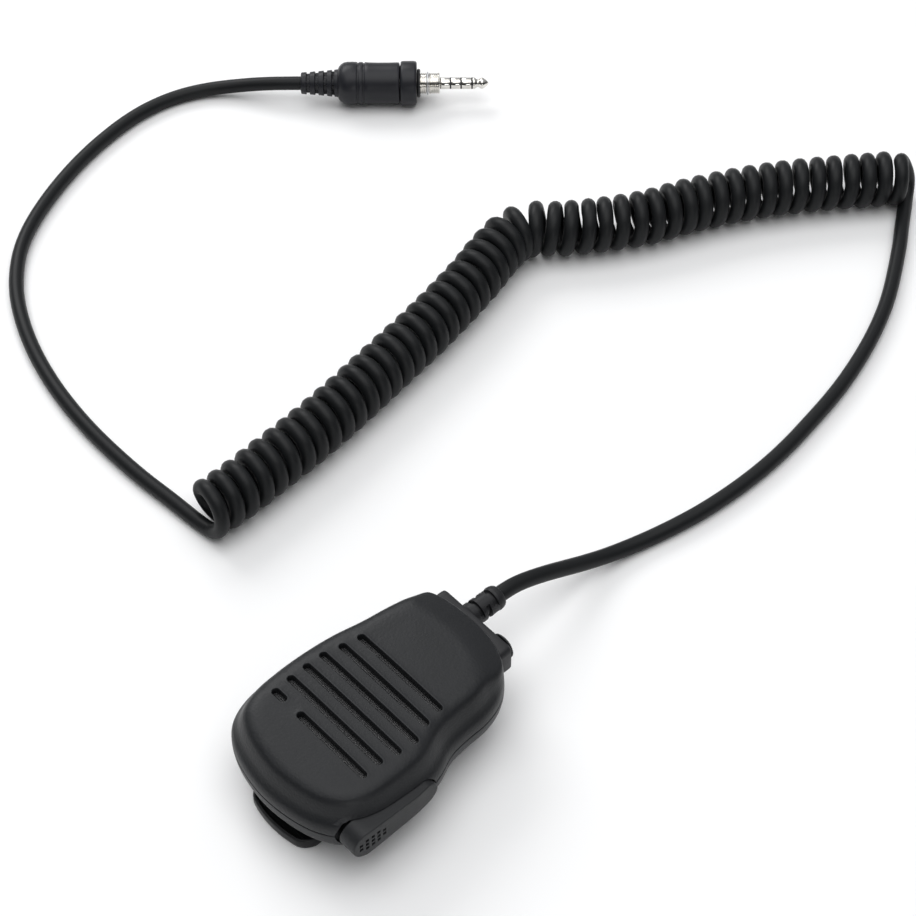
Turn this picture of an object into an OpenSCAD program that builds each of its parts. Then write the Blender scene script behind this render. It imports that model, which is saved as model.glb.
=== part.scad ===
// Hand-held speaker microphone with a curly cord and a screw-in four-pole plug.
// The microphone lies on its clip with the grille up, and the cord lies on the same surface.
// Z = 0 is that surface, +Y points to the cord's exit and +X to the push-to-talk lever.

/* [Housing] */
// Width of the housing across its widest part
housing_w = 48; // [47:0.5:49]
// Length of the housing from the lower end to the cord end
housing_l = 67; // [66:0.5:68]
// Height of the flat grille face above the surface
face_z = 24.4; // [24:0.1:25]
// Height of the seam between the two shells
seam_z = 14; // [13.9:0.1:14.1]
// Height of the flat back of the rear shell
back_z = 7.6; // [7.5:0.1:7.7]

/* [Grille] */
// Width of each slot
slot_w = 1.9; // [1.5:0.1:2.2]
// Distance from one slot row to the next
slot_pitch = 5; // [4.8:0.1:5.1]

/* [Push-to-talk] */
// How far the lever's outer face stands beyond the housing's widest part
ptt_proud = 1; // [0.8:0.1:1.2]
// Height of the lever's wide end
ptt_h = 8.8; // [8:0.1:9]
// Height of the lever's tip
ptt_tip_h = 6.9; // [6.8:0.1:7]

/* [Clip] */
// Width of the thumb tab
tab_w = 21.6; // [20:0.2:22]
// Thickness of the clip arm's plate
arm_t = 1.6; // [1.4:0.1:1.7]
// Diameter of the clip's hinge pin
clip_pin_d = 2; // [1.8:0.1:2]

/* [Cord] */
// Diameter of the cord
cord_d = 4.2; // [4:0.1:4.4]
// Outer diameter of the curly cord's coil
coil_d = 16.4; // [15.6:0.2:17]

/* [Plug] */
// Diameter of the plug's pin
pin_d = 3.5; // [3.5:0.1:3.5]
// Diameter of the rubber body behind the collar
plug_d = 12.9; // [12:0.1:13]
// Diameter of the screw collar
collar_d = 13.3; // [13.1:0.1:14]
// Outer diameter of the threaded sleeve
sleeve_d = 6.5; // [6:0.1:7]

/* [Hidden] */
$fn = 48;

// Colours
shell_black = "#26282b";
rubber_black = "#1b1c1e";
cord_black = "#1e2023";
steel = "#b9bcc0";
nickel = "#c9c6bd";
board_green = "#1f5a3a";
brass = "#b08d4a";

// The jack cover stands this far beyond the housing's cord end
cover_proud = 3;
// Wall thickness of both shells
wall = 1.8;
// Gap between pieces that move past each other
gap = 0.3;
// Radial clearance of a pin that turns in a hole
running = 0.06;

// Everything in the housing is drawn about the housing's own centre, then moved by this
housing_shift = [-ptt_proud / 2, -cover_proud / 2, 0];
half_w = housing_w / 2;
half_l = housing_l / 2;

// The seam's outline, as fractions of half the width and half the length, from the middle of
// the lower end round by the lever side; the lever side has the deeper waist
outline_knots = [
    [0, -1], [0.44, -0.955], [0.72, -0.865], [0.9, -0.73], [0.985, -0.55], [1, -0.33],
    [0.988, -0.105], [0.935, 0.045], [0.845, 0.195], [0.815, 0.375], [0.805, 0.55],
    [0.733, 0.73], [0.567, 0.885], [0.29, 0.973], [0, 1], [-0.33, 0.993], [-0.61, 0.943],
    [-0.783, 0.815], [-0.854, 0.627], [-0.9, 0.39], [-0.967, 0.15], [-1, -0.12],
    [-1, -0.36], [-0.967, -0.6], [-0.86, -0.785], [-0.68, -0.893], [-0.4, -0.966]];
outline_steps = 3;

// Shell profiles: each row is a height and the inset from the seam's outline there
front_rise = face_z - seam_z;
front_profile = [
    [seam_z, 0], [seam_z + 0.19 * front_rise, 0.15], [seam_z + 0.31 * front_rise, 0.6],
    [seam_z + 0.39 * front_rise, 1.4], [seam_z + 0.53 * front_rise, 2.2],
    [seam_z + 0.73 * front_rise, 2.9], [seam_z + 0.87 * front_rise, 3.8],
    [seam_z + 0.95 * front_rise, 5.3], [face_z, 8]];
roof_z = face_z - 2;
front_cavity = [[seam_z - 1, wall], [seam_z + 1, wall], [seam_z + 5, 3], [roof_z - 0.8, 4.1],
    [roof_z, 4.8]];
rear_drop = seam_z - back_z;
rear_profile = [
    [back_z, 5.6], [back_z + 0.04 * rear_drop, 3.6], [back_z + 0.12 * rear_drop, 2],
    [back_z + 0.28 * rear_drop, 0.9], [back_z + 0.5 * rear_drop, 0.3],
    [back_z + 0.75 * rear_drop, 0.06], [seam_z, 0]];
floor_z = back_z + wall;
rear_cavity = [[floor_z, 4.9], [floor_z + 0.6, 3.4], [floor_z + 2.2, 2.1], [seam_z - 1, wall],
    [seam_z + 1, wall]];

// Grille slots: each row is the slot's left end, right end and row number from the cord end
slots = [[-14.8, 14.3, 0], [-15.8, 15.2, 1], [-17, 17.1, 2], [-17.1, 16.8, 3],
         [-17, 16, 4], [-7.5, 16.2, 5], [-16.6, -12.1, 5]];
first_slot_y = 8.5;

// Speaker and microphone capsule
speaker_pos = [0, -4, 0];
speaker_r = 15;
speaker_top = roof_z - 0.6;
magnet_r = 8;
capsule_pos = [-14.35, first_slot_y - 5 * slot_pitch, 0];
capsule_r = 3;
boot_r = 3.6;

// Push-to-talk lever, its pocket and the pocket's lining, its pivot and its switch
ptt_face_x = half_w + ptt_proud;
ptt_wide_y = -23.3;
ptt_tip_y = -5.2;
lever_inner = [[21.6, -2], [19.6, -28.5]];
pocket_inner = [[21, -2], [18.05, -28.5]];
lining = 1.3;
pivot = [20.3, -6];
pivot_r = 0.7;
pivot_l = 9.6;
hub_r = 1.7;
hub_h = 2.8;
plunger_y = -19.5;
plunger_r = 1;

// Circuit board
board_z = 11.6;
board_t = 1.2;
board_top = board_z + board_t;
board_screw_pos = [[-15, -6], [14, 3], [-12.5, 17.5]];
housing_screw_pos = [[-11, -27], [11, -27], [-13.8, 25], [11.8, 23.8]];
post_r = 2.2;

// Ear jack and its cover
jack_pos = [6.7, 0, 16.2];
jack_bore_r = 1.78;

// Cord gland: a rubber block held in a notch across the seam
gland_pos = [-6, half_l, 15];
gland_face_y = half_l + 1.8;
relief_l = 10.8;
relief_r = 3.3;

// Clip: swivels on the back about swivel_pos, and its arm turns on the hinge pin
swivel_pos = [0, -2.5];
hinge_y = -14.5;
hinge_z = 4.3;
base_t = 1;
base_top = back_z - gap;
base_bottom = base_top - base_t;
arm_w = 15.8;
arm_end_y = 13.5;
tab_end_y = -32.5;
tab_start_y = -19.5;
ear_w = 1.3;

// Cord routes, lying on the surface once they have come down to it
mic_route = [
    [-6.5, 44.6, 15], [-6.5, 51, 14], [-5.6, 60, 11], [-4.3, 70.5, 6.6], [-3, 80, 3.4],
    [-1, 90, 2.1], [1, 99, 2.1], [2.6, 109, 2.1], [3.4, 120, 2.1], [3.4, 131, 2.1],
    [2.5, 142, 2.1], [0.8, 153, 2.1], [-1.4, 165, 2.1], [-4.6, 177, 2.1], [-8.8, 189, 2.1],
    [-14, 200.5, 2.1], [-20.5, 211.5, 2.1], [-28, 222, 2.1], [-35, 231, 2.1], [-39, 236, 2.4]];
coil_axis = [
    [-80.5, 11, 8.2], [-80.5, 21, 8.2], [-80.7, 33, 8.2], [-81.6, 46, 8.2], [-83.2, 59, 8.2],
    [-85, 71, 8.2], [-87, 83, 8.2], [-88.8, 94, 8.2], [-91.2, 106, 8.2], [-94, 118, 8.2],
    [-96.8, 129, 8.2], [-98.4, 138, 8.2], [-96.6, 145, 8.2], [-91.5, 151, 8.2],
    [-84.5, 161, 8.2], [-78, 172, 8.2], [-73.5, 182.5, 8.2], [-69, 192, 8.2], [-63.5, 202, 8.2],
    [-57, 212, 8.2], [-50, 221.5, 8.2], [-42.5, 232, 8.2], [-38.5, 238, 8.2]];
coil_bend = 12;
plug_route = [
    [-79.5, 12.5, 2.4], [-86, 10.5, 2.1], [-95, 9.2, 2.1], [-105, 8.3, 2.1], [-116, 8, 2.1],
    [-127, 8.2, 2.1], [-138, 9.2, 2.1], [-149, 11, 2.1], [-160, 13.8, 2.1], [-170, 17.4, 2.1],
    [-180, 22.2, 2.1], [-188.5, 28, 2.1], [-196, 35, 2.1], [-202, 43.2, 2.1],
    [-207, 52.4, 2.1], [-211.2, 62, 2.1], [-214.6, 72, 2.1], [-217, 82, 2.1],
    [-218.4, 92, 2.1], [-218.2, 101, 2.1], [-216.4, 109.5, 2.1], [-212.4, 117.5, 2.5],
    [-206.5, 124, 3.8], [-199.8, 129.6, 5.6], [-192, 136.6, 6.65]];
cord_sides = 8;
coil_sides = 12;

// Plug: it lies on its collar; distances run from the cord end of its strain relief
plug_start = [-192, 136.6, collar_d / 2];
plug_dir = 47.5;
plug_relief_l = 11.2;
plug_body_l = 18.6;
collar_from = plug_relief_l + plug_body_l + gap;
collar_l = 4.9;
sleeve_l = 7;
pin_from = collar_from + collar_l + sleeve_l;
core_r = 2;
contact_ends = [3, 3.4, 6.2, 6.6, 9.5, 9.9];
pin_l = 14.7;

// ---------------------------------------------------------------- curves

function knot(i) = let(n = len(outline_knots), k = outline_knots[(i + n) % n])
    [k.x * half_w, k.y * half_l];
function spline(a, b, c, d, t) = 0.5 * (2 * b + (c - a) * t + (2 * a - 5 * b + 4 * c - d) * t * t
    + (3 * b - 3 * c + d - a) * t * t * t);
outline = [for (i = [0 : len(outline_knots) - 1]) for (k = [0 : outline_steps - 1])
    spline(knot(i - 1), knot(i), knot(i + 1), knot(i + 2), k / outline_steps)];
columns = len(outline);
function unit(v) = v / norm(v);
function outline_normal(i) = let(t = unit(outline[(i + 1) % columns]
    - outline[(i + columns - 1) % columns])) [t.y, -t.x];
function inset_outline(d) = [for (i = [0 : columns - 1]) outline[i] - d * outline_normal(i)];

// Solid through rings of the housing's outline, one for each row of the profile
module loft(profile) {
    n = columns;
    points = [for (row = profile) for (p = inset_outline(row[1])) [p.x, p.y, row[0]]];
    sides = [for (r = [0 : len(profile) - 2]) for (i = [0 : n - 1]) let(j = (i + 1) % n)
        each [[r * n + i, (r + 1) * n + i, (r + 1) * n + j], [r * n + i, (r + 1) * n + j, r * n + j]]];
    bottom = [for (i = [0 : n - 1]) i];
    top = [for (i = [n - 1 : -1 : 0]) (len(profile) - 1) * n + i];
    polyhedron(points, concat([bottom, top], sides));
}

function tangent(path, i) = unit(path[min(i + 1, len(path) - 1)] - path[max(i - 1, 0)]);
function tube_ring(path, i, r, sides, ref) = let(t = tangent(path, i), s = unit(cross(t, ref)),
    u = cross(s, t)) [for (k = [0 : sides - 1]) path[i]
    + r * (cos(360 * k / sides) * s + sin(360 * k / sides) * u)];

// Closed round tube along a path, or along part of it, from one of its points to another;
// ref is any direction that the path never takes
module tube(path, r, sides, ref = [0, 0, 1], from = 0, to = undef) {
    m = sides;
    final = is_undef(to) ? len(path) - 1 : to;
    last = final - from;
    points = [for (i = [from : final]) each tube_ring(path, i, r, m, ref)];
    walls = [for (i = [0 : last - 1]) for (k = [0 : m - 1]) let(q = (k + 1) % m)
        each [[i * m + k, i * m + q, (i + 1) * m + q], [i * m + k, (i + 1) * m + q, (i + 1) * m + k]]];
    start = [for (k = [m - 1 : -1 : 0]) k];
    end = [for (k = [0 : m - 1]) last * m + k];
    polyhedron(points, concat([start, end], walls));
}

// Straight round rod between two points
module rod(a, b, r) {
    v = b - a;
    translate(a) rotate([0, acos(v.z / norm(v)), atan2(v.y, v.x)]) cylinder(r = r, h = norm(v));
}

// Cylinder along +X or +Y from a point
module cyl_x(p, r, l) translate(p) rotate([0, 90, 0]) cylinder(r = r, h = l);
module cyl_y(p, r, l) translate(p) rotate([-90, 0, 0]) cylinder(r = r, h = l);

// Flat plate with round corners, from its lowest corner
module plate(x, y, h, r) {
    translate([r, 0, 0]) cube([x - 2 * r, y, h]);
    translate([0, r, 0]) cube([x, y - 2 * r, h]);
    for (px = [r, x - r], py = [r, y - r]) translate([px, py, 0]) cylinder(r = r, h = h);
}

module in_housing() translate(housing_shift) children();

// ---------------------------------------------------------------- push-to-talk shapes

// Tapered capsule seen along X: the lever's outline, grown by g, from x0 outwards
module ptt_capsule(g, x0, x1) {
    r1 = ptt_h / 2 + g;
    r2 = ptt_tip_h / 2 + g;
    a = asin((r1 - r2) / (ptt_tip_y - ptt_wide_y));
    translate([x0, 0, seam_z]) rotate([90, 0, 90]) linear_extrude(x1 - x0) {
        translate([ptt_wide_y, 0]) circle(r = r1);
        translate([ptt_tip_y, 0]) circle(r = r2);
        polygon([[ptt_wide_y + r1 * sin(a), r1 * cos(a)], [ptt_tip_y + r2 * sin(a), r2 * cos(a)],
            [ptt_tip_y + r2 * sin(a), -r2 * cos(a)], [ptt_wide_y + r1 * sin(a), -r1 * cos(a)]]);
    }
}

// Everything outboard of a slanting line through two points, moved inboard by g
module outboard_of(line, g) {
    d = line[0] - line[1];
    far = 20;
    a = line[0] + d - [g, 0];
    b = line[1] - d - [g, 0];
    translate([0, 0, seam_z - far / 2]) linear_extrude(far)
        polygon([a, b, [b.x + far, b.y], [a.x + far, a.y]]);
}

// Room for the lever and for its hub, grown by g
module lever_pocket(g) intersection() {
    ptt_capsule(g + 0.35, 15, 30);
    outboard_of(pocket_inner, g);
}

module hub_pocket(g) translate([pivot.x, pivot.y, seam_z - hub_h / 2 - gap - g])
    cylinder(r = hub_r + 0.4 + g, h = hub_h + 2 * gap + 2 * g);

// ---------------------------------------------------------------- shells

module slot_cuts() {
    for (s = slots) translate([0, first_slot_y - s[2] * slot_pitch, roof_z - 1]) {
        translate([s[0] + slot_w / 2, -slot_w / 2, 0])
            cube([s[1] - s[0] - slot_w, slot_w, face_z - roof_z + 2]);
        for (x = [s[0] + slot_w / 2, s[1] - slot_w / 2])
            translate([x, 0, 0]) cylinder(d = slot_w, h = face_z - roof_z + 2);
    }
}

module end_openings() {
    notch_w = 12;
    notch_h = 7;
    translate([gland_pos.x - notch_w / 2, half_l - 6, gland_pos.z - 3.9])
        cube([notch_w, 8, notch_h]);
    cyl_y([jack_pos.x, half_l - 6, jack_pos.z], 3.2, 8);
}

module pivot_hole() translate([pivot.x, pivot.y, seam_z - pivot_l / 2 - 0.05])
    cylinder(r = pivot_r + 0.02, h = pivot_l + 0.1);

module plunger_hole() cyl_x([12, plunger_y, seam_z], plunger_r + 0.4, 12);

// The front shell's hollow, with its posts and the lever's lining left standing in it
module front_hollow() difference() {
    loft(front_cavity);
    for (p = housing_screw_pos) translate([p.x, p.y, seam_z - 2]) {
        cylinder(r = post_r, h = 8.5);
        cylinder(r = 1.4, h = 12);
    }
    lever_pocket(lining);
}

module front_shell() color(shell_black) in_housing() difference() {
    difference() {
        loft(front_profile);
        front_hollow();
        lever_pocket(0);
    }
    hub_pocket(0);
    pivot_hole();
    plunger_hole();
    slot_cuts();
    end_openings();
    for (p = housing_screw_pos) translate([p.x, p.y, seam_z - 1]) cylinder(r = 1.25, h = 5);
}

// The rear shell's hollow, with its posts and the lever's pocket left standing in it
module rear_hollow() difference() {
    loft(rear_cavity);
    for (p = housing_screw_pos) translate([p.x, p.y, 0]) {
        cylinder(r = 3.4, h = 10.4);
        cylinder(r = post_r, h = seam_z);
    }
    for (p = board_screw_pos) translate([p.x, p.y, 0]) cylinder(r = 2, h = board_z);
    translate([swivel_pos.x, swivel_pos.y, 0]) cylinder(r = 4, h = board_z - gap);
    lever_pocket(lining);
}

module rear_shell() color(shell_black) in_housing() difference() {
    difference() {
        loft(rear_profile);
        rear_hollow();
        lever_pocket(0);
    }
    hub_pocket(0);
    pivot_hole();
    plunger_hole();
    end_openings();
    for (p = housing_screw_pos) translate([p.x, p.y, 0]) {
        cylinder(r = 2.5, h = 9.6);
        cylinder(r = 1.3, h = 20);
    }
    for (p = board_screw_pos) translate([p.x, p.y, floor_z + 0.2]) cylinder(r = 0.85, h = 3);
    translate([swivel_pos.x, swivel_pos.y, 0]) cylinder(r = 1.55, h = 20);
}

// Sealing cord between the shells, just inside the wall
module shell_gasket() color(rubber_black) in_housing() difference() {
    translate([0, 0, seam_z - 0.5]) linear_extrude(1) difference() {
        polygon(inset_outline(wall + 0.05));
        polygon(inset_outline(wall + 0.75));
    }
    lever_pocket(lining + 0.1);
    hub_pocket(lining + 0.1);
    end_openings();
    plunger_hole();
    for (p = housing_screw_pos) translate([p.x, p.y, 0]) cylinder(r = 2.6, h = 30);
}

// ---------------------------------------------------------------- cord end

module gland_block() color(rubber_black) in_housing() {
    neck_w = 11.6;
    neck_h = 6.6;
    flange_w = 24.8;
    flange_h = 9.1;
    translate([gland_pos.x - neck_w / 2, half_l - 4, gland_pos.z - 3.7])
        cube([neck_w, 4.2, neck_h]);
    difference() {
        translate([gland_pos.x - 8.5, gland_face_y, gland_pos.z - 4.5]) rotate([90, 0, 0])
            plate(flange_w, flange_h, 5, 1.8);
        translate([0, 0, back_z]) linear_extrude(front_rise + rear_drop)
            polygon(inset_outline(-0.1));
        cyl_y([jack_pos.x, half_l - 4, jack_pos.z], 2.9, 8);
    }
}

// Ribbed sleeve, turned about the cord's exit line
module strain_relief() color(rubber_black) in_housing()
    translate([gland_pos.x, gland_face_y, gland_pos.z]) rotate([-90, 0, 0]) rotate_extrude()
        polygon([[0, 0], [relief_r + 0.2, 0], [relief_r + 0.2, 1], [relief_r, 1.6],
            [relief_r - 0.9, 1.6], [relief_r - 0.9, 2.8], [relief_r - 0.1, 2.8],
            [relief_r - 0.1, 4], [relief_r - 0.9, 4], [relief_r - 0.9, 5.2],
            [relief_r - 0.2, 5.2], [relief_r - 0.2, 6.4], [relief_r - 0.9, 6.4],
            [relief_r - 0.9, 7.4], [relief_r - 0.2, 7.4], [relief_r - 0.3, relief_l - 0.4],
            [relief_r - 0.7, relief_l], [0, relief_l]]);

module lead_tail() color(cord_black) in_housing()
    cyl_y([gland_pos.x, 22, gland_pos.z], cord_d / 2, half_l - 4 - 22);

module hookup_wires() color(brass) in_housing() {
    for (k = [-1.5 : 1 : 1.5])
        rod([gland_pos.x + k * 0.9, 22, gland_pos.z], [gland_pos.x + k * 2, 16, board_top], 0.35);
    for (k = [-1, 1])
        rod([speaker_pos.x + k, speaker_pos.y + magnet_r + 1.5, speaker_top - 4.5],
            [speaker_pos.x + k * 1.5, speaker_pos.y + magnet_r + 3, board_top], 0.3);
}

// ---------------------------------------------------------------- speaker and capsule

module speaker_frame() color(steel) in_housing() translate(speaker_pos) {
    difference() {
        translate([0, 0, speaker_top - 1.2]) cylinder(r = speaker_r, h = 1.2);
        translate([0, 0, speaker_top - 2]) cylinder(r = speaker_r - 2, h = 3);
    }
    rotate_extrude() polygon([[speaker_r - 2, speaker_top - 1.2], [speaker_r - 1, speaker_top - 1.2],
        [magnet_r + 1.5, speaker_top - 4], [magnet_r + 0.4, speaker_top - 4]]);
    difference() {
        translate([0, 0, speaker_top - 4.6]) cylinder(r = magnet_r + 1.5, h = 0.6);
        translate([0, 0, speaker_top - 5]) cylinder(r = 3.3, h = 2);
    }
}

module speaker_magnet() color("#3a3c40") in_housing() translate(speaker_pos) {
    translate([0, 0, speaker_top - 7.4]) cylinder(r = magnet_r, h = 2.8);
    translate([0, 0, speaker_top - 4.6]) cylinder(r = 2.8, h = 1.2);
}

module speaker_cone() color("#151515") in_housing() translate(speaker_pos) rotate_extrude()
    polygon([[0, speaker_top - 2.4], [3.4, speaker_top - 3], [speaker_r - 2, speaker_top - 0.6],
        [speaker_r - 2, speaker_top - 0.3], [3.4, speaker_top - 2.7], [0, speaker_top - 2.1]]);

module speaker_gasket() color("#2b2b2b") in_housing() translate(speaker_pos) difference() {
    translate([0, 0, speaker_top]) cylinder(r = speaker_r, h = 0.2);
    translate([0, 0, speaker_top - 1]) cylinder(r = speaker_r - 2, h = 2);
}

module dust_mesh() color("#101112") in_housing() intersection() {
    translate([speaker_pos.x, speaker_pos.y, roof_z - 0.4]) cylinder(r = 21, h = 0.4);
    translate([-17.9, -19.3, roof_z - 1]) cube([35.8, 30.3, 2]);
    linear_extrude(face_z) polygon(inset_outline(4.9));
}

module mic_boot() color(rubber_black) in_housing() translate(capsule_pos) difference() {
    translate([0, 0, roof_z - 4.9]) cylinder(r = boot_r, h = 4.5);
    translate([0, 0, roof_z - 6]) cylinder(r = capsule_r, h = 4.8);
    cylinder(r = 1.5, h = 30);
}

module mic_capsule() color("#8f9296") in_housing() translate(capsule_pos)
    translate([0, 0, roof_z - 4.2]) cylinder(r = capsule_r, h = 3);

// ---------------------------------------------------------------- board and its parts

module circuit_board() color(board_green) in_housing() translate([0, 0, board_z])
    linear_extrude(board_t) difference() {
        intersection() {
            polygon(inset_outline(3.8));
            translate([-22, -26.5]) square([38.4, 54]);
        }
        for (p = housing_screw_pos) translate(p) circle(r = post_r + 0.5);
        for (p = board_screw_pos) translate(p) circle(r = 1);
    }

module board_components() color("#17181a") in_housing() translate([0, 0, board_top]) {
    translate([-9, 12.5, 0]) cube([6, 2.6, 1.1]);
    translate([-10, -20, 0]) cube([4.4, 4.4, 1]);
    for (k = [0 : 3]) translate([-3 + 2.4 * k, -19, 0]) cube([1.6, 0.8, 0.6]);
    for (k = [0 : 2]) translate([-17.5, 3 + 2.2 * k, 0]) cube([0.8, 1.6, 0.6]);
    translate([10.5, -12, 0]) cylinder(r = 2, h = 1.4);
    translate([capsule_pos.x, capsule_pos.y, 0]) cylinder(r = 1.2, h = 1.2);
}

module ear_jack() color("#1d1e20") in_housing() difference() {
    union() {
        translate([jack_pos.x - 2.7, 16, board_top]) cube([5.4, half_l - 5.8 - 16, 6.4]);
        cyl_y([jack_pos.x, half_l - 6, jack_pos.z], 2.7, 4.4);
    }
    cyl_y([jack_pos.x, 17, jack_pos.z], jack_bore_r, 20);
}

module ptt_switch() color("#202124") in_housing() difference() {
    translate([11.5, plunger_y - 3.5, board_top]) cube([5.6, 7, 2 * (seam_z - board_top)]);
    cyl_x([14.4, plunger_y, seam_z], plunger_r + running, 6);
}

module ptt_plunger() color("#d8d8d4") in_housing() cyl_x([15.4, plunger_y, seam_z], plunger_r, 4.5);

module ptt_pin() color(steel) in_housing()
    translate([pivot.x, pivot.y, seam_z - pivot_l / 2]) cylinder(r = pivot_r, h = pivot_l);

module ptt_lever() color(shell_black) in_housing() difference() {
    union() {
        intersection() {
            ptt_capsule(0, 15, ptt_face_x);
            outboard_of(lever_inner, 0);
        }
        translate([pivot.x, pivot.y, seam_z - hub_h / 2]) cylinder(r = hub_r, h = hub_h);
        translate([pivot.x, pivot.y - 1.2, seam_z - hub_h / 2]) cube([2, 2.4, hub_h]);
    }
    translate([pivot.x, pivot.y, seam_z - 5]) cylinder(r = pivot_r + running, h = 10);
    grip_holes();
}

// Small square pits that give the thumb a grip
module grip_holes() {
    pit = 0.9;
    pitch = 1.5;
    for (c = [0 : 4]) {
        rows = c == 0 ? 1 : c == 4 ? 2 : 3;
        for (k = [0 : rows - 1])
            translate([ptt_face_x - 0.4, -26 + c * pitch - pit / 2,
                seam_z + (k - (rows - 1) / 2) * pitch - pit / 2]) cube([1, pit, pit]);
    }
}

module jack_cover() color(rubber_black) in_housing() {
    back_y = gland_face_y + gap;
    cyl_y([jack_pos.x - 0.2, back_y, jack_pos.z], 3.4, half_l + cover_proud - back_y);
    cyl_y([jack_pos.x, back_y - 1.8, jack_pos.z], 2, 2);
}

module board_screws() color(steel) in_housing() for (p = board_screw_pos)
    translate([p.x, p.y, 0]) {
        translate([0, 0, floor_z + 0.6]) cylinder(r = 0.8, h = board_top - floor_z - 0.6);
        translate([0, 0, board_top]) cylinder(r = 1.7, h = 1);
    }

module housing_screws() color(steel) in_housing() for (p = housing_screw_pos)
    translate([p.x, p.y, 0]) difference() {
        union() {
            translate([0, 0, 8.2]) cylinder(r = 2.2, h = 1.4);
            translate([0, 0, 9.6]) cylinder(r = 1.2, h = 8);
        }
        for (a = [0, 90]) rotate([0, 0, a]) translate([-1.4, -0.3, 8]) cube([2.8, 0.6, 1]);
    }

// ---------------------------------------------------------------- clip

module clip_screw() color(steel) in_housing() translate([swivel_pos.x, swivel_pos.y, 0])
    difference() {
        union() {
            translate([0, 0, base_bottom - 1.35]) cylinder(r = 4.5, h = 1.3);
            translate([0, 0, base_bottom - 0.1]) cylinder(r = 3, h = back_z - base_bottom + 0.1);
            translate([0, 0, back_z]) cylinder(r = 1.5, h = 3.2);
        }
        for (a = [0, 90]) rotate([0, 0, a])
            translate([-2.4, -0.45, base_bottom - 1.5]) cube([4.8, 0.9, 0.8]);
    }

module clip_base() color(shell_black) in_housing() difference() {
    ear_x = arm_w / 2 + gap;
    union() {
        translate([-ear_x - ear_w, hinge_y - 3, base_bottom])
            plate(2 * (ear_x + ear_w), arm_end_y - hinge_y + 3, base_t, 2);
        for (x = [-ear_x - ear_w, ear_x]) {
            cyl_x([x, hinge_y, hinge_z], 2, ear_w);
            translate([x, hinge_y - 2, hinge_z]) cube([ear_w, 4, base_bottom - hinge_z + 0.5]);
        }
    }
    cyl_x([-20, hinge_y, hinge_z], clip_pin_d / 2, 40);
    translate([swivel_pos.x, swivel_pos.y, 0]) cylinder(r = 3 + running, h = 20);
}

module clip_pin() color(steel) in_housing()
    cyl_x([-arm_w / 2 - gap - ear_w, hinge_y, hinge_z], clip_pin_d / 2, arm_w + 2 * (gap + ear_w));

// Torsion spring round the hinge pin, with both legs towards the jaw
spring_r = 1.45;
spring_wire = 0.3;
spring_turns = 4;
spring_leg = 6;
spring_path = concat(
    [[-2.6, hinge_y + spring_leg, hinge_z + spring_r]],
    [for (k = [0 : 12 * spring_turns + 6]) let(a = 30 * k)
        [-2.6 + 5.2 * k / (12 * spring_turns + 6), hinge_y - spring_r * sin(a),
            hinge_z + spring_r * cos(a)]],
    [[2.6, hinge_y + spring_leg, hinge_z - spring_r]]);

module clip_spring() color(steel) in_housing() tube(spring_path, spring_wire, 8, [1, 0, 0]);

module clip_arm() color(shell_black) in_housing() difference() {
    lug_w = 1.3;
    rim = 1.4;
    rim_h = 3.3;
    union() {
        translate([-arm_w / 2, tab_start_y - 1, 0])
            cube([arm_w, arm_end_y - tab_start_y + 1, arm_t]);
        difference() {
            translate([-tab_w / 2, tab_end_y, 0])
                plate(tab_w, tab_start_y - tab_end_y, rim_h, 3);
            translate([-tab_w / 2 + rim, tab_end_y + rim, arm_t])
                plate(tab_w - 2 * rim, tab_start_y - tab_end_y, rim_h, 2);
        }
        for (x = [-arm_w / 2, arm_w / 2 - lug_w]) {
            cyl_x([x, hinge_y, hinge_z], 1.9, lug_w);
            translate([x, hinge_y - 1.9, 0]) cube([lug_w, 3.8, hinge_z]);
        }
        translate([-arm_w / 2, arm_end_y - 1.8, 0]) cube([arm_w, 1.8, base_bottom - gap]);
    }
    cyl_x([-20, hinge_y, hinge_z], clip_pin_d / 2 + running, 40);
}

// ---------------------------------------------------------------- cord

module mic_lead() color(cord_black) tube(mic_route, cord_d / 2, cord_sides);
module plug_lead() color(cord_black) tube(plug_route, cord_d / 2, cord_sides);
module coil_lower() color(cord_black) tube(coil_axis, coil_d / 2, coil_sides, to = coil_bend);
module coil_upper() color(cord_black) tube(coil_axis, coil_d / 2, coil_sides, from = coil_bend);

// ---------------------------------------------------------------- plug

// Places a piece turned about Z, so that its Z axis runs along the plug from distance s
module on_plug(s) translate(plug_start) rotate([0, 0, plug_dir]) rotate([0, 90, 0])
    translate([0, 0, s]) children();

module plug_strain_relief() color(rubber_black) on_plug(0) rotate_extrude()
    polygon([[0, 0], [3.2, 0], [3.5, 0.6], [3.5, 1.8], [2.8, 1.8], [2.8, 2.8], [3.6, 2.8],
        [3.6, 4.4], [2.8, 4.4], [2.8, 5.4], [3.8, 5.4], [3.8, 7], [2.9, 7], [2.9, 8],
        [3.95, 8], [3.95, 9.6], [3, 9.6], [3, plug_relief_l], [0, plug_relief_l]]);

module plug_body() color(rubber_black) on_plug(plug_relief_l) difference() {
    rotate_extrude() polygon([[0, 0], [plug_d / 2 - 1.6, 0], [plug_d / 2 - 0.5, 0.8],
        [plug_d / 2, 2.2], [plug_d / 2, 5.6], [plug_d / 2 - 0.4, 5.6], [plug_d / 2 - 0.4, 6.2],
        [plug_d / 2, 6.2], [plug_d / 2, 7.3], [plug_d / 2 - 0.4, 7.3], [plug_d / 2 - 0.4, 7.9],
        [plug_d / 2, 7.9], [plug_d / 2, plug_body_l - 0.3],
        [plug_d / 2 - 0.3, plug_body_l], [0, plug_body_l]]);
    translate([0, 0, plug_body_l - 6]) cylinder(r = core_r, h = 7);
}

module plug_core() color(nickel) on_plug(plug_relief_l + plug_body_l - 6)
    cylinder(r = core_r, h = pin_from - plug_relief_l - plug_body_l + 6);

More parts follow.
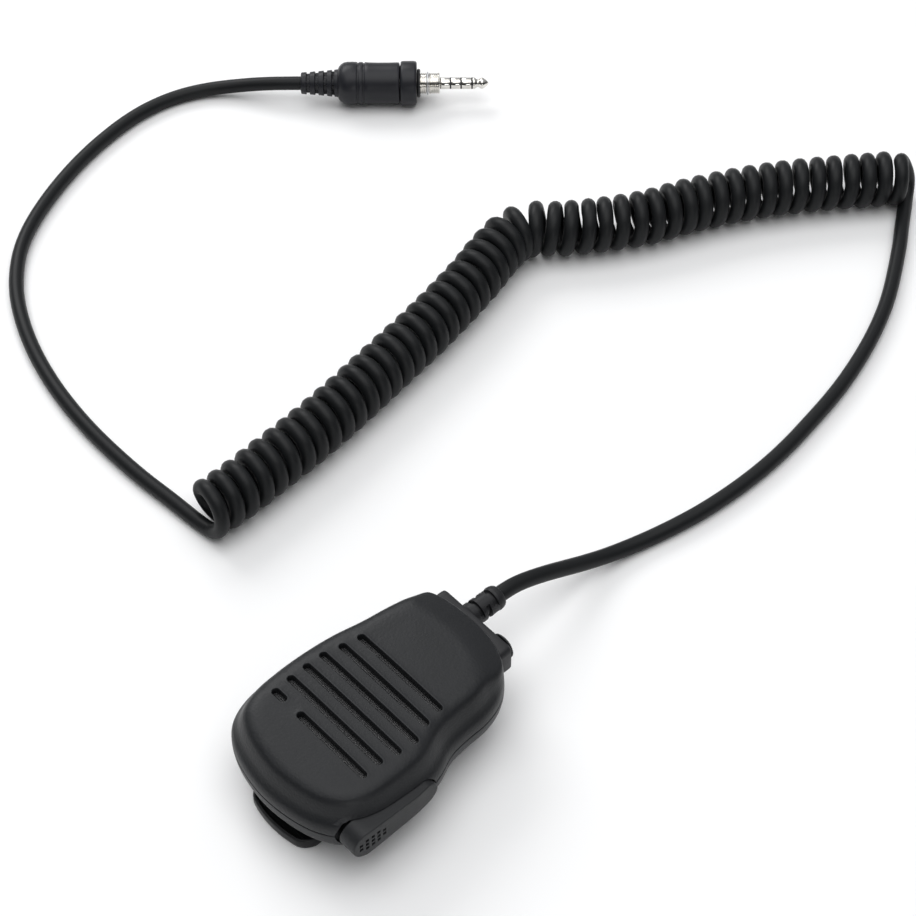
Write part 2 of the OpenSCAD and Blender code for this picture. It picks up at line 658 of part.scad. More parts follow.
module plug_collar() color(rubber_black) on_plug(collar_from) difference() {
    rotate_extrude() polygon([[0, 0], [collar_d / 2 - 0.5, 0], [collar_d / 2, 0.5],
        [collar_d / 2, collar_l - 0.6], [collar_d / 2 - 0.6, collar_l], [0, collar_l]]);
    translate([0, 0, -1]) cylinder(d = sleeve_d, h = collar_l + 2);
}

module plug_sleeve() color(nickel) on_plug(collar_from) difference() {
    rotate_extrude() polygon([[0, 0], [sleeve_d / 2, 0], [sleeve_d / 2, collar_l + 2.9],
        [sleeve_d / 2 - 0.5, collar_l + 3.1], [sleeve_d / 2 - 0.5, collar_l + 3.5],
        [sleeve_d / 2, collar_l + 3.7], [sleeve_d / 2, collar_l + sleeve_l - 0.5],
        [sleeve_d / 2 - 0.4, collar_l + sleeve_l], [0, collar_l + sleeve_l]]);
    translate([0, 0, -1]) cylinder(r = core_r + running, h = 30);
}

module plug_seal() color("#151515") on_plug(collar_from + collar_l + 0.55)
    rotate_extrude() translate([sleeve_d / 2 + 0.55, 0]) circle(r = 0.5, $fn = 24);

module plug_barrel() color(nickel) on_plug(pin_from) cylinder(d = pin_d, h = contact_ends[0]);
module plug_ring_rear() color(nickel) on_plug(pin_from + contact_ends[1])
    cylinder(d = pin_d, h = contact_ends[2] - contact_ends[1]);
module plug_ring_front() color(nickel) on_plug(pin_from + contact_ends[3])
    cylinder(d = pin_d, h = contact_ends[4] - contact_ends[3]);

module plug_insulators() color("#111111") for (k = [0, 2, 4]) on_plug(pin_from + contact_ends[k])
    cylinder(d = pin_d, h = contact_ends[k + 1] - contact_ends[k]);

module plug_tip() color(nickel) on_plug(pin_from + contact_ends[5]) rotate_extrude()
    polygon([[0, 0], [pin_d / 2, 0], [pin_d / 2, 0.5], [pin_d / 2 - 0.6, 1.6],
        [pin_d / 2 - 0.05, 2.6], [pin_d / 2 - 0.05, 3.2], [0.5, pin_l - contact_ends[5]],
        [0, pin_l - contact_ends[5]]]);

front_shell();
rear_shell();
shell_gasket();
gland_block();
strain_relief();
speaker_frame();
speaker_magnet();
speaker_cone();
speaker_gasket();
dust_mesh();
mic_boot();
mic_capsule();
circuit_board();
board_components();
hookup_wires();
lead_tail();
ptt_switch();
ptt_plunger();
ptt_pin();
ptt_lever();
ear_jack();
jack_cover();
board_screws();
housing_screws();
clip_screw();
clip_base();
clip_pin();
clip_spring();
clip_arm();
mic_lead();
coil_lower();
coil_upper();
plug_lead();
plug_strain_relief();
plug_body();
plug_core();
plug_collar();
plug_sleeve();
plug_seal();
plug_barrel();
plug_insulators();
plug_ring_rear();
plug_ring_front();
plug_tip();
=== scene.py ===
import bmesh
import bpy
import math
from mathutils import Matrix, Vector
from mathutils.geometry import delaunay_2d_cdt


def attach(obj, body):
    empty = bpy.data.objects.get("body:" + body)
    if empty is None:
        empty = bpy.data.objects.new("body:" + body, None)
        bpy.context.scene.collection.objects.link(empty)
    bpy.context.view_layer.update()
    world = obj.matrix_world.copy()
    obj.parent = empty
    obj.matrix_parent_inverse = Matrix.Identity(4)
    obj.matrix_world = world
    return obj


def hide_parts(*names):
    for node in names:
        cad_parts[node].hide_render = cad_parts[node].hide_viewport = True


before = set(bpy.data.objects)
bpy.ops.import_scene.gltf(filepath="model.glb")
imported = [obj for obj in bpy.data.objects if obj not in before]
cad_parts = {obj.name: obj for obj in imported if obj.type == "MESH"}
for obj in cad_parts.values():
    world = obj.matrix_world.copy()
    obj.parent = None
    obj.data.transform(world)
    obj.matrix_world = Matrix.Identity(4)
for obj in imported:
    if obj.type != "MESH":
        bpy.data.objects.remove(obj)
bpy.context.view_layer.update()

MM = 0.001
SCENE = bpy.context.scene


# ---------------------------------------------------------------- mesh helpers

def lerp(a, b, t):
    return a + (b - a) * t


def smooth(a, b, x):
    t = min(max((x - a) / (b - a), 0.0), 1.0)
    return t * t * (3 - 2 * t)


def catmull(points, steps, closed=False):
    """Points of a Catmull-Rom spline through tuples of any size."""
    n = len(points)
    out = []
    for i in range(n if closed else n - 1):
        if closed:
            p = [points[(i + k) % n] for k in (-1, 0, 1, 2)]
        else:
            p = [points[min(max(i + k, 0), n - 1)] for k in (-1, 0, 1, 2)]
        for s in range(steps):
            t = s / steps
            out.append(tuple(
                0.5 * (2 * b + (c - a) * t + (2 * a - 5 * b + 4 * c - d) * t * t
                       + (3 * b - 3 * c + d - a) * t ** 3)
                for a, b, c, d in zip(*p)))
    if not closed:
        out.append(tuple(points[-1]))
    return out


class Builder:
    """Collects vertices in millimetres and faces, then makes one object of them."""

    def __init__(self, shift=(0, 0, 0)):
        self.verts, self.faces, self.shift = [], [], shift

    def ring(self, points):
        start = len(self.verts)
        self.verts += [tuple(p) for p in points]
        return list(range(start, len(self.verts)))

    def join(self, a, b):
        n = len(a)
        for i in range(n):
            j = (i + 1) % n
            self.faces.append((a[i], a[j], b[j], b[i]))

    def loft(self, rings):
        rows = [self.ring(r) for r in rings]
        for a, b in zip(rows, rows[1:]):
            self.join(a, b)
        return rows

    def cap(self, ring, flip=False):
        self.faces.append(tuple(reversed(ring)) if flip else tuple(ring))

    def fan(self, ring, centre):
        c = self.ring([centre])[0]
        for a, b in zip(ring, ring[1:] + ring[:1]):
            self.faces.append((a, b, c))

    def make(self, name, body, material, sharp=35, replaces=()):
        sx, sy, sz = self.shift
        mesh = bpy.data.meshes.new(name)
        mesh.from_pydata([((x + sx) * MM, (y + sy) * MM, (z + sz) * MM)
                          for x, y, z in self.verts], [], self.faces)
        mesh.validate()
        work = bmesh.new()
        work.from_mesh(mesh)
        bmesh.ops.recalc_face_normals(work, faces=work.faces)
        work.to_mesh(mesh)
        work.free()
        obj = bpy.data.objects.new(name, mesh)
        SCENE.collection.objects.link(obj)
        return dress(obj, body, material, sharp, replaces)


def dress(obj, body, material, sharp=35, replaces=()):
    """Shading, material and body for a new piece; hides the parts it replaces."""
    if obj.type == "MESH":
        mesh = obj.data
        mesh.polygons.foreach_set("use_smooth", [True] * len(mesh.polygons))
        mesh.set_sharp_from_angle(angle=math.radians(sharp))
    obj.data.materials.clear()
    obj.data.materials.append(material)
    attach(obj, body)
    if replaces:
        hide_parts(*replaces)
    return obj


HOUSING = (-0.5, -1.5, 0)


def inside(p, loop):
    x, y = p
    hit = False
    for (x1, y1), (x2, y2) in zip(loop, loop[1:] + loop[:1]):
        if (y1 > y) != (y2 > y) and x < (x2 - x1) * (y - y1) / (y2 - y1) + x1:
            hit = not hit
    return hit


def plate(build, border, holes, height, pitch, flip=False, lift=lambda x, y, z: (x, y, z)):
    """Fills between a border ring and hole rings of build with fine triangles.
    A ring is (vertex numbers, 2D points); height gives z at x, y."""
    points, numbers, edges = [], [], []
    for ids, loop in [border, *holes]:
        base = len(points)
        points += [Vector(p) for p in loop]
        numbers += ids
        edges += [(base + i, base + (i + 1) % len(loop)) for i in range(len(loop))]
    xs, ys = [p[0] for p in border[1]], [p[1] for p in border[1]]
    near = [Vector(p) for p in points]
    grid = []
    y = min(ys) + pitch / 2
    row = 0
    while y < max(ys):
        x = min(xs) + (0.5 if row % 2 else 1.0) * pitch
        while x < max(xs):
            q = Vector((x, y))
            if (inside((x, y), border[1]) and not any(inside((x, y), h[1]) for h in holes)
                    and min((q - p).length_squared for p in near) > (0.6 * pitch) ** 2):
                grid.append(q)
            x += pitch
        y += pitch * 0.87
        row += 1
    for q in grid:
        numbers.append(build.ring([lift(q.x, q.y, height(q.x, q.y))])[0])
    found, _, tris, origin, _, _ = delaunay_2d_cdt(points + grid, edges, [], 0, 1e-7)
    for t in tris:
        c = [sum(found[k][i] for k in t) / 3 for i in (0, 1)]
        if not inside(c, border[1]) or any(inside(c, h[1]) for h in holes):
            continue
        face = [numbers[origin[k][0]] for k in t]
        build.faces.append(tuple(reversed(face)) if flip else tuple(face))


def circle(x, y, r, n=40):
    return [(x + r * math.cos(2 * math.pi * k / n), y + r * math.sin(2 * math.pi * k / n))
            for k in range(n)]


def rounded_rect(x0, x1, y0, y1, r, steps=6, along=3):
    """Anticlockwise outline of a rectangle with round corners."""
    out = []
    corners = [(x1 - r, y0 + r, -90), (x1 - r, y1 - r, 0),
               (x0 + r, y1 - r, 90), (x0 + r, y0 + r, 180)]
    for cx, cy, start in corners:
        for k in range(steps + 1):
            a = math.radians(start + 90 * k / steps)
            out.append((cx + r * math.cos(a), cy + r * math.sin(a)))
    return divided(out, along)


def divided(loop, longest):
    """The same closed outline with its long edges split."""
    out = []
    for (x1, y1), (x2, y2) in zip(loop, loop[1:] + loop[:1]):
        n = max(1, math.ceil(math.hypot(x2 - x1, y2 - y1) / longest))
        out += [(lerp(x1, x2, k / n), lerp(y1, y2, k / n)) for k in range(n)]
    return out


def inset_loop(loop, d):
    """Anticlockwise outline moved inwards by d."""
    out = []
    n = len(loop)
    for i, (x, y) in enumerate(loop):
        t = Vector(loop[(i + 1) % n]) - Vector(loop[i - 1])
        t.normalize()
        out.append((x - d * t.y, y + d * t.x))
    return out


def extruded(build, loop, w0, w1, put, edge=0.2, holes=(), pitch=2.0):
    """Slab from w0 to w1 across an anticlockwise outline, with rounded edges and through
    holes; put turns outline coordinates and a height into a place."""
    bulge = 0.29 * edge
    rows = [(edge, w0), (bulge, w0 + bulge), (0, w0 + edge), (0, w1 - edge), (bulge, w1 - bulge),
            (edge, w1)]
    loops = [inset_loop(loop, d) for d, _ in rows]
    ids = build.loft([[put(u, v, w) for u, v in ring] for ring, (_, w) in zip(loops, rows)])
    walls = [build.loft([[put(u, v, w) for u, v in hole] for w in (w0, w1)]) for hole in holes]
    for end, w in ((0, w0), (-1, w1)):
        rims = [(wall[end], hole) for wall, hole in zip(walls, holes)]
        plate(build, (ids[end], loops[end]), rims, lambda u, v: w, pitch, lift=put)


def revolved(build, profile, put, sides=72, radius=lambda s, r, a: r, bored=False):
    """Solid of revolution through rows of distance along the axis and radius; radius may
    change it round the axis. A bored one is closed from its last row back to its first."""
    rings = [[put(s, radius(s, r, 2 * math.pi * k / sides), 2 * math.pi * k / sides)
              for k in range(sides)] for s, r in profile]
    rows = build.loft(rings)
    if bored:
        build.join(rows[-1], rows[0])
    else:
        build.fan(rows[0], put(profile[0][0], 0, 0))
        build.fan(rows[-1], put(profile[-1][0], 0, 0))


# ---------------------------------------------------------------- materials

def node_material(name):
    m = bpy.data.materials.new(name)
    m.use_nodes = True
    return m, m.node_tree.nodes, m.node_tree.links, m.node_tree.nodes["Principled BSDF"]


def plastic(name, colour, rough, grain=0.45, depth=0.03, specular=0.5, wear=0.25, spread=0.1,
            kind="leather"):
    """Moulded plastic or rubber: grain in millimetres, bump depth in millimetres, roughness
    that varies over the surface, and edges rubbed slightly lighter."""
    m, nodes, links, bsdf = node_material(name)
    coords = nodes.new("ShaderNodeTexCoord")
    fine = nodes.new("ShaderNodeTexNoise")
    fine.inputs["Scale"].default_value = 1000 / grain
    fine.inputs["Detail"].default_value = 3
    fine.inputs["Roughness"].default_value = 0.6
    links.new(coords.outputs["Object"], fine.inputs["Vector"])
    if kind == "leather":
        cells = nodes.new("ShaderNodeTexVoronoi")
        cells.feature = "SMOOTH_F1"
        cells.inputs["Scale"].default_value = 700 / grain
        cells.inputs["Smoothness"].default_value = 0.7
        links.new(coords.outputs["Object"], cells.inputs["Vector"])
        height = nodes.new("ShaderNodeMath")
        height.operation = "MULTIPLY_ADD"
        links.new(cells.outputs["Distance"], height.inputs[0])
        height.inputs[1].default_value = 0.8
        links.new(fine.outputs["Fac"], height.inputs[2])
        source = height.outputs[0]
    else:
        source = fine.outputs["Fac"]
    bump = nodes.new("ShaderNodeBump")
    bump.inputs["Distance"].default_value = depth * MM
    bump.inputs["Strength"].default_value = 1.0
    links.new(source, bump.inputs["Height"])
    links.new(bump.outputs["Normal"], bsdf.inputs["Normal"])

    broad = nodes.new("ShaderNodeTexNoise")
    broad.inputs["Scale"].default_value = 90
    broad.inputs["Detail"].default_value = 4
    links.new(coords.outputs["Object"], broad.inputs["Vector"])
    rough_range = nodes.new("ShaderNodeMapRange")
    rough_range.inputs["To Min"].default_value = rough - spread / 2
    rough_range.inputs["To Max"].default_value = rough + spread / 2
    links.new(broad.outputs["Fac"], rough_range.inputs["Value"])
    links.new(rough_range.outputs["Result"], bsdf.inputs["Roughness"])

    geometry = nodes.new("ShaderNodeNewGeometry")
    edge = nodes.new("ShaderNodeMapRange")
    edge.inputs["From Min"].default_value = 0.51
    edge.inputs["From Max"].default_value = 0.60
    edge.inputs["To Max"].default_value = wear
    links.new(geometry.outputs["Pointiness"], edge.inputs["Value"])
    tint = nodes.new("ShaderNodeMapRange")
    tint.inputs["To Min"].default_value = 0.0
    tint.inputs["To Max"].default_value = 0.12
    links.new(broad.outputs["Fac"], tint.inputs["Value"])
    amount = nodes.new("ShaderNodeMath")
    links.new(edge.outputs["Result"], amount.inputs[0])
    links.new(tint.outputs["Result"], amount.inputs[1])
    mix = nodes.new("ShaderNodeMix")
    mix.data_type = "RGBA"
    mix.inputs["A"].default_value = (*colour, 1)
    mix.inputs["B"].default_value = (*[min(c * 3 + 0.02, 1) for c in colour], 1)
    links.new(amount.outputs[0], mix.inputs["Factor"])
    links.new(mix.outputs["Result"], bsdf.inputs["Base Color"])
    bsdf.inputs["Specular IOR Level"].default_value = specular
    return m


def metal(name, colour, rough, scale=400, depth=0.004, stretch=(1, 1, 1), spread=0.12):
    """Plated or turned metal: tool marks in the bump, smudges in the roughness."""
    m, nodes, links, bsdf = node_material(name)
    coords = nodes.new("ShaderNodeTexCoord")
    mapping = nodes.new("ShaderNodeMapping")
    mapping.inputs["Scale"].default_value = stretch
    links.new(coords.outputs["Object"], mapping.inputs["Vector"])
    marks = nodes.new("ShaderNodeTexNoise")
    marks.inputs["Scale"].default_value = scale * 6
    marks.inputs["Detail"].default_value = 2
    links.new(mapping.outputs["Vector"], marks.inputs["Vector"])
    bump = nodes.new("ShaderNodeBump")
    bump.inputs["Distance"].default_value = depth * MM
    links.new(marks.outputs["Fac"], bump.inputs["Height"])
    links.new(bump.outputs["Normal"], bsdf.inputs["Normal"])
    smudge = nodes.new("ShaderNodeTexNoise")
    smudge.inputs["Scale"].default_value = scale
    smudge.inputs["Detail"].default_value = 5
    links.new(coords.outputs["Object"], smudge.inputs["Vector"])
    rough_range = nodes.new("ShaderNodeMapRange")
    rough_range.inputs["To Min"].default_value = max(rough - spread / 2, 0.02)
    rough_range.inputs["To Max"].default_value = rough + spread / 2
    links.new(smudge.outputs["Fac"], rough_range.inputs["Value"])
    links.new(rough_range.outputs["Result"], bsdf.inputs["Roughness"])
    ramp = nodes.new("ShaderNodeValToRGB")
    ramp.color_ramp.elements[0].position = 0.3
    ramp.color_ramp.elements[0].color = (*[c * 0.82 for c in colour], 1)
    ramp.color_ramp.elements[1].position = 0.62
    ramp.color_ramp.elements[1].color = (*colour, 1)
    links.new(smudge.outputs["Fac"], ramp.inputs["Fac"])
    links.new(ramp.outputs["Color"], bsdf.inputs["Base Color"])
    bsdf.inputs["Metallic"].default_value = 1.0
    return m


def woven(name, colour, pitch, rough, depth, specular=0.5):
    """Cloth or felt: two crossed bands of threads, pitch in millimetres."""
    m, nodes, links, bsdf = node_material(name)
    coords = nodes.new("ShaderNodeTexCoord")
    waves = []
    for direction in ("X", "Y"):
        wave = nodes.new("ShaderNodeTexWave")
        wave.bands_direction = direction
        wave.inputs["Scale"].default_value = 1000 / pitch / 20 * 2 * math.pi
        wave.inputs["Distortion"].default_value = 0.8
        wave.inputs["Detail Scale"].default_value = 40
        links.new(coords.outputs["Object"], wave.inputs["Vector"])
        waves.append(wave)
    top = nodes.new("ShaderNodeMath")
    top.operation = "MAXIMUM"
    links.new(waves[0].outputs["Fac"], top.inputs[0])
    links.new(waves[1].outputs["Fac"], top.inputs[1])
    bump = nodes.new("ShaderNodeBump")
    bump.inputs["Distance"].default_value = depth * MM
    links.new(top.outputs[0], bump.inputs["Height"])
    links.new(bump.outputs["Normal"], bsdf.inputs["Normal"])
    ramp = nodes.new("ShaderNodeValToRGB")
    ramp.color_ramp.elements[0].color = (*[c * 0.3 for c in colour], 1)
    ramp.color_ramp.elements[1].color = (*colour, 1)
    links.new(top.outputs[0], ramp.inputs["Fac"])
    links.new(ramp.outputs["Color"], bsdf.inputs["Base Color"])
    rough_range = nodes.new("ShaderNodeMapRange")
    rough_range.inputs["To Min"].default_value = rough + 0.15
    rough_range.inputs["To Max"].default_value = rough
    links.new(top.outputs[0], rough_range.inputs["Value"])
    links.new(rough_range.outputs["Result"], bsdf.inputs["Roughness"])
    bsdf.inputs["Specular IOR Level"].default_value = specular
    return m


SHELL = plastic("shell_plastic", (0.0100, 0.0108, 0.0122), 0.44, grain=0.5, depth=0.045,
                specular=0.25)
LEVER = plastic("lever_plastic", (0.0115, 0.0122, 0.0135), 0.46, grain=0.4, depth=0.025,
                specular=0.26)
CLIP = plastic("clip_plastic", (0.0055, 0.0058, 0.0062), 0.36, grain=0.6, depth=0.008,
               specular=0.22)
RUBBER = plastic("soft_rubber", (0.0085, 0.0088, 0.0102), 0.48, grain=0.3, depth=0.008,
                 kind="fine", specular=0.3)
JACKET = plastic("cord_jacket", (0.0058, 0.0065, 0.0072), 0.45, grain=0.5, depth=0.012,
                 kind="fine", wear=0.05, specular=0.2)
PLUG_RUBBER = plastic("plug_rubber", (0.0075, 0.0080, 0.0110), 0.40, grain=0.35, depth=0.006,
                      kind="fine", specular=0.3)
GLOSS = plastic("gloss_plastic", (0.010, 0.010, 0.011), 0.22, grain=0.8, depth=0.002,
                kind="fine", wear=0.1)
WHITE = plastic("plunger_plastic", (0.68, 0.68, 0.65), 0.42, grain=0.4, depth=0.006,
                kind="fine", wear=0.0)
BOARD = plastic("solder_mask", (0.015, 0.13, 0.055), 0.35, grain=0.7, depth=0.01,
                kind="fine", wear=0.1)
NICKEL = metal("nickel", (0.78, 0.76, 0.72), 0.14)
STEEL = metal("steel", (0.52, 0.53, 0.55), 0.32, depth=0.01)
MAGNET = metal("magnet_iron", (0.10, 0.10, 0.11), 0.55, depth=0.02)
BRASS = metal("tinned_wire", (0.66, 0.47, 0.22), 0.3)
MESH = woven("dust_cloth", (0.02, 0.02, 0.022), 0.42, 0.16, 0.12, specular=0.9)
FELT = woven("felt", (0.035, 0.035, 0.037), 0.6, 0.9, 0.1)
PAPER = woven("cone_paper", (0.022, 0.022, 0.023), 0.9, 0.7, 0.05)

FINISH = {
    "shell_gasket": RUBBER, "speaker_frame": STEEL, "speaker_magnet": MAGNET,
    "speaker_cone": PAPER, "speaker_gasket": FELT, "dust_mesh": MESH, "mic_boot": RUBBER,
    "mic_capsule": STEEL, "circuit_board": BOARD, "board_components": GLOSS,
    "hookup_wires": BRASS, "lead_tail": JACKET, "ptt_switch": GLOSS, "ptt_plunger": WHITE,
    "ptt_pin": STEEL, "ear_jack": GLOSS, "board_screws": STEEL, "housing_screws": STEEL,
    "clip_screw": STEEL, "clip_pin": STEEL, "clip_spring": STEEL, "plug_core": NICKEL,
    "plug_seal": RUBBER, "plug_barrel": NICKEL, "plug_ring_rear": NICKEL,
    "plug_ring_front": NICKEL, "plug_insulators": GLOSS}
for node, material in FINISH.items():
    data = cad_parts[node].data
    data.materials.clear()
    data.materials.append(material)


# ---------------------------------------------------------------- camera, light, floor

camera = bpy.data.objects.new("camera", bpy.data.cameras.new("camera"))
SCENE.collection.objects.link(camera)
camera.location = (0.2470, -0.2014, 0.4883)
camera.data.lens = 94.08
camera.data.sensor_width = 36
camera.rotation_mode = "QUATERNION"
looking = Vector((-0.0550, 0.0754, 0)) - camera.location
camera.rotation_quaternion = looking.to_track_quat("-Z", "Y")
camera.data.clip_start = 0.01
camera.data.clip_end = 20
SCENE.camera = camera

FLOOR_REACH = 3.0
floor_mesh = bpy.data.meshes.new("floor")
floor_mesh.from_pydata([(x * FLOOR_REACH, y * FLOOR_REACH, 0)
                        for x, y in ((-1, -1), (1, -1), (1, 1), (-1, 1))], [], [(0, 1, 2, 3)])
floor = bpy.data.objects.new("floor", floor_mesh)
SCENE.collection.objects.link(floor)
paper, nodes, links, bsdf = node_material("floor_paper")
bsdf.inputs["Base Color"].default_value = (0.93, 0.93, 0.93, 1)
bsdf.inputs["Roughness"].default_value = 0.9
floor_mesh.materials.append(paper)

world = bpy.data.worlds.new("studio")
SCENE.world = world
world.use_nodes = True
sky = world.node_tree.nodes
sky_links = world.node_tree.links
direction = sky.new("ShaderNodeTexCoord")
lean = sky.new("ShaderNodeVectorMath")
lean.operation = "DOT_PRODUCT"
sky_links.new(direction.outputs["Generated"], lean.inputs[0])
lean.inputs[1].default_value = (-0.27, 0.25, 0.93)
shade = sky.new("ShaderNodeValToRGB")
shade.color_ramp.elements[0].position = 0.15
shade.color_ramp.elements[0].color = (0.03, 0.03, 0.03, 1)
shade.color_ramp.elements[1].position = 0.85
shade.color_ramp.elements[1].color = (0.85, 0.86, 0.88, 1)
sky_links.new(lean.outputs["Value"], shade.inputs["Fac"])
sky_links.new(shade.outputs["Color"], sky["Background"].inputs["Color"])
sky["Background"].inputs["Strength"].default_value = 0.7
SCENE.view_settings.view_transform = "Standard"


def softbox(name, position, target, size, power):
    light = bpy.data.lights.new(name, "AREA")
    light.shape = "RECTANGLE"
    light.size, light.size_y = size
    light.energy = power
    obj = bpy.data.objects.new(name, light)
    obj.location = position
    obj.rotation_mode = "QUATERNION"
    obj.rotation_quaternion = (Vector(target) - Vector(position)).to_track_quat("-Z", "Y")
    SCENE.collection.objects.link(obj)


softbox("top_light", (0.02, 0.0, 1.30), (-0.02, 0.02, 0), (1.4, 1.4), 11)
softbox("back_light", (-1.00, 0.30, 0.75), (-0.06, 0.06, 0), (0.8, 0.5), 6)
softbox("front_light", (0.85, -0.45, 0.30), (-0.05, 0.05, 0), (0.5, 0.3), 1.5)


# ---------------------------------------------------------------- cord

MIC_ROUTE = [
    (-6.5, 36, 15), (-6.5, 40, 15), (-6.5, 44.6, 15), (-6.5, 51, 14), (-5.6, 60, 11),
    (-4.3, 70.5, 6.6), (-3, 80, 3.4), (-1, 90, 2.1), (1, 99, 2.1), (2.6, 109, 2.1),
    (3.4, 120, 2.1), (3.4, 131, 2.1), (2.5, 142, 2.1), (0.8, 153, 2.1), (-1.4, 165, 2.1),
    (-4.6, 177, 2.1), (-8.8, 189, 2.1), (-14, 200.5, 2.1), (-19.9, 210.6, 2.1),
    (-27.4, 222, 2.1), (-31.1, 227, 2.1), (-34.7, 232.2, 2.1), (-37.9, 236.6, 2.2),
    (-39.9, 239.4, 3.4), (-41.2, 240.7, 5.6), (-42, 240.6, 8.2), (-43.2, 239.9, 11.4)]
COIL_AXIS = [
    (-80.5, 1, 8.2), (-80.5, 11, 8.2), (-80.5, 21, 8.2), (-81.4, 33.1, 8.2), (-82.4, 46.1, 8.2),
    (-84, 59.1, 8.2), (-85.9, 71.1, 8.2), (-87.9, 83.1, 8.2), (-89.7, 94.1, 8.2),
    (-92.2, 106.2, 8.2), (-95.1, 118.1, 8.2), (-98.4, 129, 8.2), (-100.1, 137.7, 8.2),
    (-98.1, 144.2, 8.2), (-92.9, 150, 8.2), (-86, 160.1, 8.2), (-79.7, 171.3, 8.2),
    (-75.5, 182.1, 8.2), (-71.1, 191.8, 8.2), (-65.8, 202, 8.2), (-59.5, 212.2, 8.2),
    (-52.7, 221.9, 8.2), (-45.1, 232.3, 8.2), (-41.6, 237.5, 8.2)]
PLUG_ROUTE = [
    (-84.5, 9.9, 2.1), (-89, 9.6, 2.1), (-95, 9.2, 2.1), (-105, 8.3, 2.1), (-116, 8, 2.1),
    (-127, 8.2, 2.1), (-138, 9.2, 2.1), (-149, 11, 2.1), (-160, 13.8, 2.1), (-170, 17.4, 2.1),
    (-180, 22.2, 2.1), (-188.5, 28, 2.1), (-196, 35, 2.1), (-202, 43.2, 2.1), (-207, 52.4, 2.1),
    (-211.2, 62, 2.1), (-214.6, 72, 2.1), (-217, 82, 2.1), (-218.4, 92, 2.1),
    (-218.2, 101, 2.1), (-216.4, 109.5, 2.1), (-212.4, 117.5, 2.5), (-206.5, 124, 3.8),
    (-199.8, 129.6, 5.6), (-192, 136.6, 6.65), (-189, 139.87, 6.65)]
CORD_R = 2.1
COIL_R = 6.1
PITCH = 4.9
AXIS_STEPS = 40
COIL_FROM_Y = 10.2
BEND_POINT = 12.75
OPENED, OPENED_OVER = 0.12, 6.5
TUCK = 0.5
UP = Vector((0, 0, 1))


def arc_table(points):
    """How far along a line each of its points is."""
    total, out = 0.0, [0.0]
    for a, b in zip(points, points[1:]):
        total += (Vector(b) - Vector(a)).length
        out.append(total)
    return out


def helix():
    """The coil, from the microphone's end to the plug's: a left-handed helix round the axis,
    opened out where the axis bends. Its first and last angles meet the straight cords, and the
    turn at the microphone's end is tucked in against its neighbour."""
    axis = [Vector(p) for p in catmull(COIL_AXIS, AXIS_STEPS)]
    arcs = arc_table(axis)
    bend_at = arcs[int(BEND_POINT * AXIS_STEPS)]
    first = next(i for i, p in enumerate(axis) if p.y > COIL_FROM_Y)
    angles = [0.0]
    for a, b in zip(arcs[first:], arcs[first + 1:]):
        spread = 1 + OPENED * math.exp(-(((a + b) / 2 - bend_at) / OPENED_OVER) ** 2)
        angles.append(angles[-1] + (b - a) / (PITCH * spread) * 2 * math.pi)
    start, end = math.radians(-90), math.radians(112)
    turns = round((angles[-1] + start - end) / (2 * math.pi))
    scale = (turns * 2 * math.pi + end - start) / angles[-1]
    out = []
    step = math.radians(15)
    steps = int(angles[-1] * scale / step)
    k = 0
    for s in range(steps + 1):
        angle = angles[-1] * s / steps
        while k < len(angles) - 2 and angles[k + 1] < angle:
            k += 1
        t = (angle - angles[k]) / (angles[k + 1] - angles[k])
        a, b = axis[first + k], axis[first + k + 1]
        lo, hi = max(first + k - 25, 0), min(first + k + 26, len(axis) - 1)
        along = (axis[hi] - axis[lo]).normalized()
        side = along.cross(UP)
        phi = start + angle * scale
        wobble = 0.12 * math.sin(0.37 * phi) + 0.08 * math.sin(0.171 * phi + 2)
        tuck = TUCK * smooth(steps - 14, steps - 4, s)
        out.append(tuple(a.lerp(b, t) + COIL_R * (math.cos(phi) * side + math.sin(phi) * UP)
                         + (wobble - tuck) * along))
    return list(reversed(out))


# The whole line, smoothed a little where the straight cords meet the helix
cord_line = catmull(MIC_ROUTE, 4) + helix() + catmull(PLUG_ROUTE, 4)
for _ in range(2):
    cord_line = ([cord_line[0]]
                 + [tuple((a + 2 * b + c) / 4 for a, b, c in zip(p, q, r))
                    for p, q, r in zip(cord_line, cord_line[1:], cord_line[2:])]
                 + [cord_line[-1]])
curve = bpy.data.curves.new("cord", "CURVE")
curve.dimensions = "3D"
curve.bevel_depth = CORD_R * MM
curve.bevel_resolution = 5
curve.use_fill_caps = True
spline = curve.splines.new("POLY")
spline.points.add(len(cord_line) - 1)
for point, p in zip(spline.points, cord_line):
    point.co = (*[c * MM for c in p], 1)
spline.use_smooth = True
cord = bpy.data.objects.new("cord", curve)
SCENE.collection.objects.link(cord)
dress(cord, "housing", JACKET,
      replaces=("mic_lead", "coil_lower", "coil_upper", "plug_lead"))
cord_length = arc_table(cord_line)[-1]


# ---------------------------------------------------------------- housing outline

HALF_W, HALF_L = 24.0, 33.5
KNOTS = [
    (0, -1), (0.44, -0.955), (0.72, -0.865), (0.9, -0.73), (0.985, -0.55), (1, -0.33),
    (0.988, -0.105), (0.935, 0.045), (0.845, 0.195), (0.815, 0.375), (0.805, 0.55),
    (0.733, 0.73), (0.567, 0.885), (0.29, 0.973), (0, 1), (-0.33, 0.993), (-0.61, 0.943),
    (-0.783, 0.815), (-0.854, 0.627), (-0.9, 0.39), (-0.967, 0.15), (-1, -0.12),
    (-1, -0.36), (-0.967, -0.6), (-0.86, -0.785), (-0.68, -0.893), (-0.4, -0.966)]
OUTLINE = catmull([(x * HALF_W, y * HALF_L) for x, y in KNOTS], 12, closed=True)
COLUMNS = len(OUTLINE)
for _ in range(12):
    OUTLINE = [tuple((OUTLINE[i - 1][k] + 2 * OUTLINE[i][k] + OUTLINE[(i + 1) % COLUMNS][k]) / 4
                     for k in (0, 1)) for i in range(COLUMNS)]
